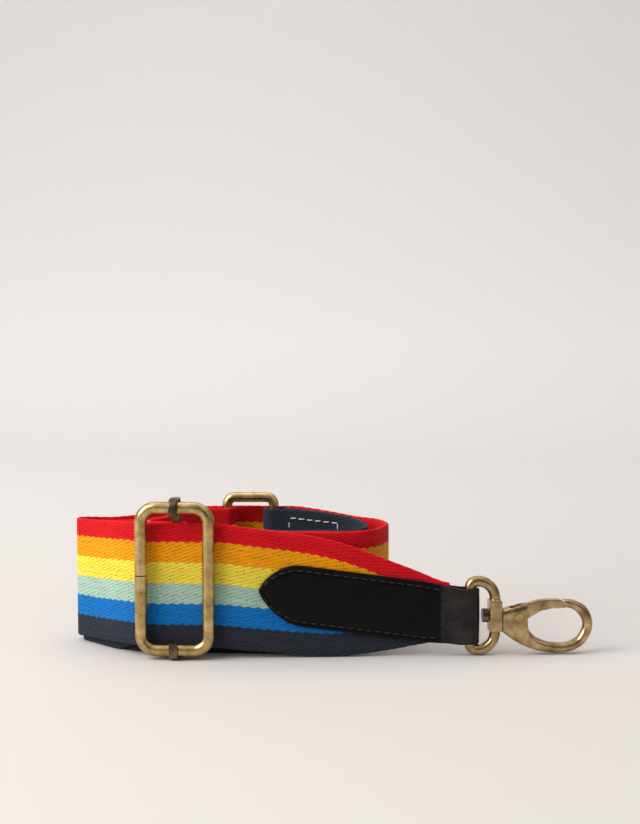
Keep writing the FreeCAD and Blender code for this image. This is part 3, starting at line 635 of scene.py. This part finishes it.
def long_edges(upper):
    """Height of the long webbing's lower or upper edge along its route."""
    def edge(line, along):
        x, y = line[:, 0], line[:, 1]
        split, back = nearest(line, SPLIT), nearest(line, BACK_MIDDLE)
        ring, last = nearest(line, RING_START), nearest(line, RING_END)
        level = level_of(upper)
        # The front run: lifted at the slider and tapered into tab a, its corners averaged out.
        marks = [LEFT, SPLIT[0], BAR_X - SLIDER_REACH, BAR_X + SLIDER_REACH]
        if upper:
            taper, heights = [-8, 10, 34, TAB_END], [52.6, 52.8, 54.2, 54.2, 50, 45.8, 36.6, 29.0]
        else:
            taper, heights = [2, 14, 34, TAB_END], [2.6, 2.8, 4.2, 4.2, 0, 0.4, 3.6, 6.6]
        front = np.interp(x, marks + taper, heights)
        front = np.convolve(np.pad(front, 9, mode="edge"), np.ones(19) / 19, "valid")
        height = np.full(len(x), level)
        height[:split] = front[:split]
        settled = ease((along - along[split]) / SETTLE_LONG)
        height[split:] = level + FRONT_LIFT * (1 - settled[split:])
        # The outer layer behind the ring.
        near_back = np.abs(np.arange(len(x)) - back) < BACK_POINTS
        bump = ease((x + 92) / 30) * (1 - ease((x + 14) / 34)) * (y > 40) * near_back
        height[split:ring] = (height + BACK_RISE[upper] * bump)[split:ring]
        # The stretch between the ring's rails, and a short way before and after it.
        foot = nose(1)[-1][0] + 4
        raised = level + (RING_LIFT - RING_TUCK[upper]) * ease((x - foot) / (-50 - foot))
        between_rails = slice(ring - RING_POINTS, last + RING_POINTS)
        height[between_rails] = raised[between_rails]
        return height
    return edge


long_webbing = ribbon("long_webbing", joined(FRONT, COIL, RING_PART, RETURN), long_edges(False),
                      long_edges(True))


def end_edge(upper):
    """Height of the slider end's edges: lifted on the way to the slider's bar."""
    def edge(line, _along):
        return level_of(upper) + LIFT * ease((line[:, 0] + 86) / 14)
    return edge


end_route = [RETURN_END, (-78.2, 11.1), (BAR_X - 9.5, BAR_Y + 0.7), (BAR_X - 6, BAR_Y - 0.1),
             (BAR_X - 3.2, BAR_Y - BAR_FOLD), (BAR_X + BAR_FOLD + 1.8, BAR_Y - BAR_FOLD),
             (BAR_X + BAR_FOLD + 1.8, BAR_Y + BAR_FOLD), (BAR_X - 3.2, BAR_Y + BAR_FOLD),
             (BAR_X - 6, BAR_Y + 1.9), (BAR_X - 9.5, BAR_Y + 2.7)]
slider_end = ribbon("slider_end_webbing", end_route, end_edge(False), end_edge(True), step=0.4, wave=0.03)
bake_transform(slider_end)
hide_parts("sewn_end")

seam_run = np.array(SEAM[1]) - np.array(SEAM[0])
seam_run /= np.linalg.norm(seam_run)
beside = np.array([-seam_run[1], seam_run[0]]) * 1.95
APEX = RING_PLAN[0] + RING_ACROSS - FOLD - FOLD_FAR_ROOM / 2
tab_b_run = TAB_B_CORNER - np.array(TAB_B_START)
tab_b_run /= np.linalg.norm(tab_b_run)
short_route = ([tuple(np.array(SEAM[1]) + beside), tuple(np.array(SEAM[0]) + beside + seam_run * 2),
                (-16.5, RING_BACK), (APEX, RING_BACK), (APEX, RING_FRONT - FOLD_FAR_ROOM), SEAM[0]]
               + SHORT_TURN + [TAB_B_START, tuple(TAB_B_CORNER - tab_b_run * 4)])


def short_edge(upper):
    """Height of the short webbing's edges: raised at the ring, tapered and raised into tab b."""
    def edge(line, _along):
        x = line[:, 0]
        ring = level_of(upper) + (RING_LIFT - SHORT_TUCK[upper]) * (1 - ease((x + 12) / 36))
        if upper:
            tab = np.interp(-x, [30, 56, 72], [50, 48.0, 46.6])
        else:
            tab = np.interp(-x, [4, 30, 56, 72], [0, 8, 23, 26])
        before_turn = np.arange(len(x)) < nearest(line, SHORT_TURN[1])
        return np.where(before_turn, ring, tab)
    return edge


short_webbing = ribbon("short_webbing_piece", short_route, short_edge(False), short_edge(True),
                       upside_down=True, wave=0.06)


# ---------------------------------------------------------------- leather tabs

NARROW_FROM, NARROW_LONG = 19, 16
RIM_FADES_AT, RIM_FADE_LONG = 70, 4


def tab_half(s):
    """Half the tab's width at a distance from its pointed tip."""
    half = TAB_WIDE / 2
    tip = half * np.clip(1 - (1 - np.clip(s, 0, TIP_LONG) / TIP_LONG) ** 2, 0, 1) ** 0.75
    narrow = np.clip((s - TAB_LONG + NARROW_FROM) / NARROW_LONG, 0, 1)
    return np.where(s < TIP_LONG, tip, half + (LOOP_WIDE / 2 - half) * narrow)


def tab_middle(s, tip_z, eye_z):
    """Height of the tab's middle line: it slopes, and levels out just before the eye."""
    return tip_z + (eye_z - tip_z) * np.clip(s / (TAB_LONG - 4), 0, 1)


def leaf_plan(bend, eye, heading, sign, tip_at):
    """One leaf in plan: beside the webbing, round its bend, and out to the loop round the eye."""
    lie = WEB_HALF + HALF_HIDE
    reach = EYE_WIRE / 2 + NEAR_GAP + HALF_HIDE
    side = np.array([-heading[1], heading[0]])
    first = heading if bend is None else (bend - tip_at) / np.linalg.norm(bend - tip_at)
    spots = [tip_at + np.array([-first[1], first[0]]) * sign * lie]
    if bend is None:
        spots.append(eye - heading * 7.6 + side * sign * lie)
    else:
        half = math.atan2(first[0] * heading[1] - first[1] * heading[0], first @ heading) / 2
        lean = np.array([-first[1] - heading[1], first[0] + heading[0]])
        lean /= np.linalg.norm(lean)
        spots.append(bend + lean * (sign * lie / math.cos(half)))
    spots.append(eye - heading * 4.2 + side * sign * reach)
    spots.append(eye + heading * reach + side * sign * reach)
    return spots


def hide_profile(edge, stitched):
    """Outer height over the leather's middle at a distance from its cut edge.

    It rises on a quarter round at the edge, stands proud as a burnished rim, dips in the
    stitch groove and then stays level; stitched fades the rim and groove out on the loop.
    """
    round_edge = np.sqrt(np.clip(1 - (1 - np.clip(edge / 0.55, 0, 1)) ** 2, 0, 1))
    rim = 0.16 * np.exp(-((edge - 0.95) / 0.5) ** 2)
    groove = -0.30 * np.exp(-((edge - STITCH_INSET) / 0.38) ** 2)
    crown = 0.10 * (1 - np.exp(-np.clip(edge - 2.6, 0, None) / 2.0))
    return HALF_HIDE * round_edge + ((rim + groove) * stitched + crown) * round_edge


# Section spots from a cut edge to the middle of the tab, as shares of half the width, and
# rows from a tip inwards in millimetres: both are close where the leather is rounded.
SECTION = np.concatenate([[0, .006, .016, .03, .045, .062, .08, .1, .12, .14, .155, .17, .185, .2, .23],
                          np.linspace(0.28, 1, 10)])
TIP_ROWS = np.array([0, 0.04, 0.1, 0.18, 0.28, 0.4])


def leather_tab(name, eye, heading, bend, way, tip_z, eye_z):
    """Two leaves and the loop between them, as one strip of leather.

    The strip runs from the front tip round the eye to the back tip. At each place its half
    width and middle height come from the distance along the tab, and its outer face from
    hide_profile; its inner face is flat with a rounded edge. way is 1 when the eye is to the
    right of the tip and -1 when it is to the left.
    """
    eye, heading = np.array(eye), np.array(heading)
    base = heading if bend is None else tab_b_run
    corner = eye if bend is None else bend
    span = (corner[0] - (eye[0] - way * TAB_LONG)) / base[0]
    tip_at = corner - base * span
    route = leaf_plan(bend, eye, heading, -way, tip_at) + leaf_plan(bend, eye, heading, way, tip_at)[::-1]
    line, along = smooth_path(route, 0.5)
    keep = along[(along > 0.5) & (along < along[-1] - 0.5)]
    rows = np.concatenate([TIP_ROWS, keep, along[-1] - TIP_ROWS[::-1]])
    line = np.stack([np.interp(rows, along, line[:, k]) for k in (0, 1)], 1)
    outside = -way * side_of(line)
    s = np.clip(TAB_LONG - (eye[0] - line[:, 0]) * way, 0, TAB_LONG + 12)
    half = np.maximum(tab_half(s), 0.02)
    slope = np.gradient(half) / np.maximum(np.abs(np.gradient(s)), 0.02)
    slope = np.clip(np.where(s < TIP_LONG, slope, 0), -6, 6)
    c = np.concatenate([-(1 - SECTION), (1 - SECTION[:-1])[::-1]])
    edge = (1 - np.abs(c))[None, :] * (half / np.sqrt(1 + slope ** 2))[:, None]
    face = hide_profile(edge, 1 - ease((s[:, None] - RIM_FADES_AT) / RIM_FADE_LONG))
    face = face + sway(rows[:, None], c[None, :] * 12, 0.05, len(name)) * np.clip(edge / 2, 0, 1)
    inner = -HALF_HIDE * np.sqrt(np.clip(1 - (1 - np.clip(edge / 0.4, 0, 1)) ** 2, 0, 1))
    z = tab_middle(s, tip_z, eye_z)[:, None] + c[None, :] * half[:, None]
    outer = place(line[:, None, :] + outside[:, None, :] * face[..., None], z)
    back = place(line[:, None, :] + outside[:, None, :] * inner[..., None], z)
    points = np.concatenate([outer, back[:, -2:0:-1]], 1)
    u = np.broadcast_to(rows[:, None] * MM, points.shape[:2])
    v = np.concatenate([c, c[-2:0:-1]])[None, :] * half[:, None] * MM
    uv = np.stack([u, v], -1)
    made = grid_mesh(name, points, np.concatenate([uv, uv[:, :1]], 1), HIDE)
    return made, tip_at, base


# ---------------------------------------------------------------- stitches

UP = np.array([0, 0, 1.0])


def stitch_mesh(name, centres, ways, ups, material):
    """Short saddle stitches: each is a thread with rounded ends, bowed away from the face.

    centres are points in millimetres, ways the stitches' directions and ups the faces' normals.
    With t from -1 to 1 along a stitch, its radius is r * (1 - |t|^5)^0.5 and its bow 1 - t^2.
    """
    t = np.array([-1, -0.93, -0.75, -0.35, 0.0, 0.35, 0.75, 0.93, 1.0])
    turn = np.linspace(0, 2 * math.pi, 9)[:-1]
    radius = THREAD / 2 * np.sqrt(np.clip(1 - np.abs(t) ** 5, 0.0, 1)) + 0.004
    lift = (1 - t ** 2) * THREAD * 0.22 - THREAD * 0.18
    centres, ways, ups = (np.asarray(a, float) for a in (centres, ways, ups))
    across = np.cross(ways, ups)
    spine = centres[:, None, :] + ways[:, None, :] * (t * STITCH_LONG / 2)[None, :, None]
    spine = spine + ups[:, None, :] * lift[None, :, None]
    ring = (across[:, None, None, :] * np.cos(turn)[None, None, :, None]
            + ups[:, None, None, :] * np.sin(turn)[None, None, :, None])
    points = spine[:, :, None, :] + ring * radius[None, :, None, None]
    count, rows, cols = points.shape[:3]
    k = np.arange(count)[:, None, None] * rows * cols
    r = np.arange(rows - 1)[None, :, None]
    c = np.arange(cols)[None, None, :]
    near, far, beside = k + r * cols, k + (r + 1) * cols, (c + 1) % cols
    quads = np.stack([near + c, near + beside, far + beside, far + c], -1)
    first = [[j * rows * cols + m for m in range(cols)][::-1] for j in range(count)]
    last = [[j * rows * cols + (rows - 1) * cols + m for m in range(cols)] for j in range(count)]
    mesh = bpy.data.meshes.new(name)
    flat = points.reshape(-1, 3) * MM
    flat[:, :2] += SHIFT
    mesh.from_pydata(flat.tolist(), [], quads.reshape(-1, 4).tolist() + first + last)
    smooth_shaded(mesh)
    made = linked(name, mesh, material)
    outward(made)
    return made


def tab_stitches(name, tip_z, eye_z, tip_at, base, last):
    """Stitches beside both edges of both leaves, round the pointed tip, and one row across."""
    def edge_point(s, sign):
        return tab_middle(s, tip_z, eye_z) + sign * np.maximum(tab_half(s + 0.6) - STITCH_INSET, 0)

    centres, ways, ups = [], [], []
    out = WEB_HALF + 2 * HALF_HIDE
    for sign in (1, -1):
        fine = np.linspace(1.9, last, 500)
        height = edge_point(fine, sign)
        run = np.concatenate([[0], np.cumsum(np.hypot(np.diff(fine), np.diff(height)))])
        spots = np.interp(np.arange(STITCH_PITCH * 0.4, run[-1], STITCH_PITCH), run, fine)
        for s in spots:
            ahead = edge_point(s + 0.3, sign) - edge_point(s - 0.3, sign)
            for face in (1, -1):
                side = np.array([-base[1], base[0], 0]) * face
                at = tip_at + base * (s / abs(base[0]))
                along = np.array([base[0], base[1], ahead / 0.6 * abs(base[0])])
                along /= np.linalg.norm(along)
                centres.append(np.array([at[0], at[1], edge_point(s, sign)]) + side * (out + 0.03))
                ways.append(along)
                ups.append(side)
    across = np.arange(-7.6, 7.7, 3.8)
    for face in (1, -1):
        side = np.array([-base[1], base[0], 0]) * face
        at = tip_at + base * ((last + 1.4) / abs(base[0]))
        middle = tab_middle(last + 1.4, tip_z, eye_z)
        for c in across:
            centres.append(np.array([at[0], at[1], middle + c]) + side * (out + 0.10))
            ways.append(UP)
            ups.append(side)
    return stitch_mesh(name, centres, ways, ups, BLACK_THREAD)


tab_a, tip_a, base_a = leather_tab("tab_a_hide", EYE_A, HEAD_A, None, 1, TIP_A_Z, EYE_A_Z)
tab_b, tip_b, base_b = leather_tab("tab_b_hide", EYE_B, HEAD_B, TAB_B_CORNER, -1, TIP_B_Z, EYE_B_Z)
thread_a = tab_stitches("tab_a_thread", TIP_A_Z, EYE_A_Z, tip_a, base_a, last=72.5)
thread_b = tab_stitches("tab_b_thread", TIP_B_Z, EYE_B_Z, tip_b, base_b, last=48.0)

out_of_seam = np.array([seam_run[1], -seam_run[0], 0])


def box_stitches():
    """A box of white stitches through the short webbing's doubled end, seen on its inner face."""
    centres, ways = [], []
    low, high, first, last = 7.6, 49.6, 1.6, 23.4

    def at(u, z):
        spot = np.array(SEAM[0]) + seam_run * u
        return np.array([spot[0], spot[1], z]) + out_of_seam * 0.95

    along = np.array([seam_run[0], seam_run[1], 0])
    for z in np.arange(low + 1.8, high, STITCH_PITCH):
        for u in (first, last):
            centres.append(at(u, z))
            ways.append(UP)
    for u in np.arange(first + 1.9, last, STITCH_PITCH):
        for z in (low, high - 3.0 * (u - first) / 40):
            centres.append(at(u, z))
            ways.append(along)
    return centres, ways, [out_of_seam] * len(centres)


box_thread = stitch_mesh("ring_box_thread", *box_stitches(), WHITE_THREAD)

STRAP_PIECES = [(long_webbing, "main_webbing", "striped_webbing"),
                (short_webbing, "short_webbing", "striped_webbing"),
                (tab_a, "tab_a_leather", "black_leather"), (tab_b, "tab_b_leather", "black_leather"),
                (thread_a, "tab_a_stitching", "black_thread"), (thread_b, "tab_b_stitching", "black_thread"),
                (box_thread, "ring_box_stitching", "white_thread")]
for piece, stood_for, finish in STRAP_PIECES:
    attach(piece, "strap")
    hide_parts(stood_for)

end_face = BAR_Y + 2.4 + WEB_HALF + 0.07
end_spots = [np.array([BAR_X - 7.6, end_face, LIFT + STITCH_PITCH * k])
             for k in range(1, int(WIDTH / MM / STITCH_PITCH))]
end_thread = stitch_mesh("slider_end_thread", end_spots, [UP] * len(end_spots),
                         [np.array([0.0, 1, 0])] * len(end_spots), WHITE_THREAD)
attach(end_thread, "slider_bar_body")
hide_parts("slider_end_stitching")


# ---------------------------------------------------------------- brass fittings

def eased(made, material, voxel, rounds):
    """A cast part as it leaves the mould: rebuilt on an even voxel grid and smoothed in place."""
    even = made.modifiers.new("even", "REMESH")
    even.mode = "VOXEL"
    even.voxel_size = voxel
    soft = made.modifiers.new("soft", "SMOOTH")
    soft.factor = 0.5
    soft.iterations = rounds
    bpy.context.view_layer.update()
    mesh = bpy.data.meshes.new_from_object(made.evaluated_get(bpy.context.evaluated_depsgraph_get()))
    made.modifiers.clear()
    made.data = mesh
    mesh.materials.clear()
    mesh.materials.append(material)
    smooth_shaded(mesh)


def cast_copy(node, name, material, rounds):
    """An eased copy of a CAD node, its loose triangles merged first."""
    made = linked(name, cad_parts[node].data.copy())
    outward(made)
    eased(made, material, 0.00024, rounds)
    return made


# One row for each station from the hook's neck to its nose, in the hook's own millimetres:
# x and z of the outer edge, x and z of the inner edge, half depth, and squareness.
HOOK_STATIONS = np.array([
    [12.95, -6.4, 12.95, 2.1, 2.5, 5.0], [13.4, -6.9, 13.4, 2.6, 3.0, 5.0],
    [17.7, -10.1, 18.0, 3.9, 3.0, 5.0], [21.0, -12.0, 22.6, 5.0, 3.0, 5.0],
    [21.5, -12.2, 23.2, 4.6, 2.95, 5.0], [22.4, -12.6, 23.3, -0.6, 2.9, 4.0],
    [25.0, -13.7, 23.8, -5.4, 2.8, 3.2], [29.4, -15.0, 26.8, -8.9, 2.6, 2.6],
    [36.2, -15.6, 32.8, -11.2, 2.4, 2.2], [42.4, -14.8, 39.6, -11.4, 2.3, 2.0],
    [47.1, -11.8, 43.9, -9.2, 2.25, 2.0], [49.7, -7.4, 46.0, -5.2, 2.2, 2.0],
    [50.3, -3.2, 45.9, -2.4, 2.2, 2.0], [49.2, 0.6, 44.6, -0.1, 2.2, 2.0],
    [46.8, 3.8, 42.9, 1.5, 2.15, 2.2], [42.6, 5.8, 41.0, 2.6, 2.1, 2.6],
    [39.4, 6.25, 40.0, 2.7, 2.0, 3.0], [37.75, 6.45, 39.75, 2.7, 1.95, 3.0]])
# The gate's slot in the hook's shoulder: from and to, along, across and up.
GATE_SLOT = ((16.2, 27.0), (-2.0, 2.0), (-3.6, 9.0))


def hook_frame(letter):
    """Plan place, turn about z and height of a hook's own frame; its x runs from the eye outwards."""
    if letter == "a":
        return np.array(EYE_A), FRONT_RIGHT, EYE_A_Z
    return np.array(EYE_B), HOOK_B_HEADING, EYE_B_Z


def from_hook(points, letter):
    """Hook points in millimetres, along, deep and up, as frame points in metres."""
    spot, turn, height = hook_frame(letter)
    along, deep, up = np.moveaxis(points, -1, 0)
    x = along * math.cos(turn) - deep * math.sin(turn)
    y = along * math.sin(turn) + deep * math.cos(turn)
    return place(np.stack([x, y], -1) + spot, up + height)


def spline_rows(table, steps):
    """Smooth values between stations: a cubic from each row to the next, with both their slopes."""
    fine = np.linspace(0, len(table) - 1, steps)
    k = np.clip(fine.astype(int), 0, len(table) - 2)
    u = (fine - k)[:, None]
    slope = np.gradient(table, axis=0) * 0.8
    h00, h10 = 2 * u ** 3 - 3 * u ** 2 + 1, u ** 3 - 2 * u ** 2 + u
    h01, h11 = -2 * u ** 3 + 3 * u ** 2, u ** 3 - u ** 2
    return h00 * table[k] + h10 * slope[k] + h01 * table[k + 1] + h11 * slope[k + 1]


def hook_surface(letter):
    """The cast hook: a closed loft of super-ellipses between its outer and inner edges.

    A section's middle is half way between the edges. A point at angle a lies at
    sign(cos a) |cos a|^(2/n) half widths towards the outer edge, and the same of the sine in
    depth, where n is the squareness.
    """
    rows = spline_rows(HOOK_STATIONS, 190)
    outer, inner, deep, power = rows[:, 0:2], rows[:, 2:4], rows[:, 4], rows[:, 5]
    middle, reach = (outer + inner) / 2, (outer - inner) / 2
    angle = np.linspace(0, 2 * math.pi, 49)[:-1]
    co, si = np.cos(angle)[None, :], np.sin(angle)[None, :]
    ce = np.sign(co) * np.abs(co) ** (2 / power[:, None])
    se = np.sign(si) * np.abs(si) ** (2 / power[:, None])
    along = middle[:, None, 0] + reach[:, None, 0] * ce
    up = middle[:, None, 1] + reach[:, None, 1] * ce
    return from_hook(np.stack([along, deep[:, None] * se, up], -1), letter)


def slot_cutter(letter):
    """A closed box where a hook's gate slot is cut."""
    corners = np.array([[x, y, z] for x in GATE_SLOT[0] for y in GATE_SLOT[1] for z in GATE_SLOT[2]])
    faces = [(0, 1, 3, 2), (4, 6, 7, 5), (0, 4, 5, 1), (2, 3, 7, 6), (0, 2, 6, 4), (1, 5, 7, 3)]
    mesh = bpy.data.meshes.new("cutter")
    mesh.from_pydata(from_hook(corners, letter).tolist(), [], faces)
    made = linked("cutter", mesh)
    outward(made)
    return made


def hook_casting(letter):
    """The loft with a slot for the gate cut in its shoulder, then eased like a casting."""
    name = f"hook_{letter}_body"
    points = hook_surface(letter)
    made = grid_mesh(name + "_casting", points, np.zeros((points.shape[0], points.shape[1] + 1, 2)), AGED)
    cutter = slot_cutter(letter)
    cut = made.modifiers.new("slot", "BOOLEAN")
    cut.operation = "DIFFERENCE"
    cut.object = cutter
    cut.solver = "EXACT"
    eased(made, AGED, 0.00023, 5)
    bpy.data.objects.remove(cutter)
    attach(made, name + "_group")
    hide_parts(name)


for letter in "ab":
    hook_casting(letter)

# Each copied node's body, material, finish name and rounds of smoothing.
COPIES = {f"hook_{letter}_{kind}": (f"{kind}_{letter}_body", AGED, "aged_brass", rounds)
          for kind, rounds in (("gate", 4), ("eye", 8)) for letter in "ab"}
COPIES["slider_bar"] = ("slider_bar_body", GUNMETAL, "dark_metal", 16)
for node, (body, material, finish, rounds) in COPIES.items():
    casting = cast_copy(node, node + "_casting", material, rounds)
    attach(casting, body)
    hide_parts(node)

# Nodes kept as CAD made them, with their finish.
FINISH = {"slider_frame": SLIDER_BRASS, "rectangular_ring": BRASS}
for letter in "ab":
    FINISH[f"hook_{letter}_swivel_post"] = GUNMETAL
    FINISH[f"hook_{letter}_gate_pin"] = BRASS
    FINISH[f"hook_{letter}_gate_spring"] = STEEL
for node, material in FINISH.items():
    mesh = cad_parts[node].data
    mesh.materials.clear()
    mesh.materials.append(material)

# ---------------------------------------------------------------- stage, light and camera

FLOOR_END, TURN, WALL_TOP = 0.9, 0.7, 2.6


def paper_material():
    """Pale paper with painted shade: darker on the floor than on the wall."""
    material, n, shader = blank("pale_paper")
    where = n.add("ShaderNodeTexCoord").outputs["Object"]
    split = n.add("ShaderNodeSeparateXYZ", {"Vector": where})
    # Painted shade: the colour darkens from the wall towards the front of the floor.
    share = n.add("ShaderNodeMapRange", {"Value": split.outputs["Y"], "From Min": 0.1, "From Max": 1.3})
    tone = n.add("ShaderNodeValToRGB", {"Fac": share.outputs[0]})
    tone.color_ramp.elements[0].color = rgb(207, 202, 199)
    tone.color_ramp.elements[1].color = rgb(252, 249, 247)
    n.link(tone.outputs["Color"], shader.inputs["Base Color"])
    shader.inputs["Roughness"].default_value = 0.75
    shader.inputs["Specular IOR Level"].default_value = 0.2
    return material


def backdrop():
    """A pale sweep: a floor that turns up into a wall on a wide quarter round."""
    turn = np.linspace(0.05, 1.57, 24)
    floor = np.concatenate([[-9.0], np.linspace(-1.2, FLOOR_END, 12)])
    depth = np.concatenate([floor, FLOOR_END + TURN * np.sin(turn), [FLOOR_END + TURN] * 2])
    height = np.concatenate([np.zeros(len(floor)), TURN - TURN * np.cos(turn), [2 * TURN, WALL_TOP]])
    across = np.linspace(-9, 9, 3)
    rows = np.stack(np.broadcast_arrays(across[None, :], depth[:, None], height[:, None]), -1)
    uv = np.zeros(rows.shape[:2] + (2,))
    return grid_mesh("paper_sweep", rows[:, ::-1], uv, paper_material(), closed=False)


sweep = backdrop()


def area_light(name, spot, target, size, power, colour=(1, 1, 1)):
    """A rectangular lamp that looks at a target."""
    lamp = bpy.data.lights.new(name, "AREA")
    lamp.shape = "RECTANGLE"
    lamp.size, lamp.size_y = size
    lamp.energy = power
    lamp.color = colour
    holder = bpy.data.objects.new(name, lamp)
    bpy.context.collection.objects.link(holder)
    holder.location = spot
    holder.rotation_euler = (Vector(target) - Vector(spot)).to_track_quat("-Z", "Y").to_euler()


area_light("window_left", (-0.95, -0.45, 0.75), (0, 0, 0.03), (0.9, 0.9), 17.0, (1.0, 0.985, 0.965))
area_light("fill_right", (1.1, -0.7, 0.8), (0, 0, 0.03), (1.2, 1.2), 2.2, (0.97, 0.985, 1.0))
area_light("top_soft", (0.0, 0.25, 1.3), (0, 0, 0), (1.6, 1.2), 5.0)

# The air is brighter from the left, from behind and from above.
world = bpy.data.worlds.new("studio")
bpy.context.scene.world = world
world.use_nodes = True
air = Nodes(world.node_tree)
sky = world.node_tree.nodes["Background"]
heading = air.add("ShaderNodeSeparateXYZ", {"Vector": air.add("ShaderNodeTexCoord").outputs["Generated"]})
side_light = air.math("MULTIPLY_ADD", heading.outputs["X"], -0.34, 0.36)
back_light = air.math("MULTIPLY_ADD", heading.outputs["Y"], 0.30, side_light)
glow = air.math("MULTIPLY_ADD", heading.outputs["Z"], 0.42, back_light)
air.link(air.math("MAXIMUM", glow, 0.03), sky.inputs["Strength"])
sky.inputs["Color"].default_value = (1.0, 0.99, 0.985, 1)

CAMERA_AT = (-0.0040, -0.5310, 0.128)
CAMERA_DOWN = math.radians(3.32)
lens = bpy.data.cameras.new("camera")
camera = bpy.data.objects.new("camera", lens)
bpy.context.collection.objects.link(camera)
lens.sensor_fit = "AUTO"
lens.sensor_width = 36
lens.lens = 55.57
lens.clip_start = 0.01
camera.location = CAMERA_AT
camera.rotation_euler = (math.pi / 2 - CAMERA_DOWN, 0, 0)
bpy.context.scene.camera = camera
bpy.context.scene.view_settings.view_transform = "Standard"
bpy.context.scene.view_settings.look = "None"
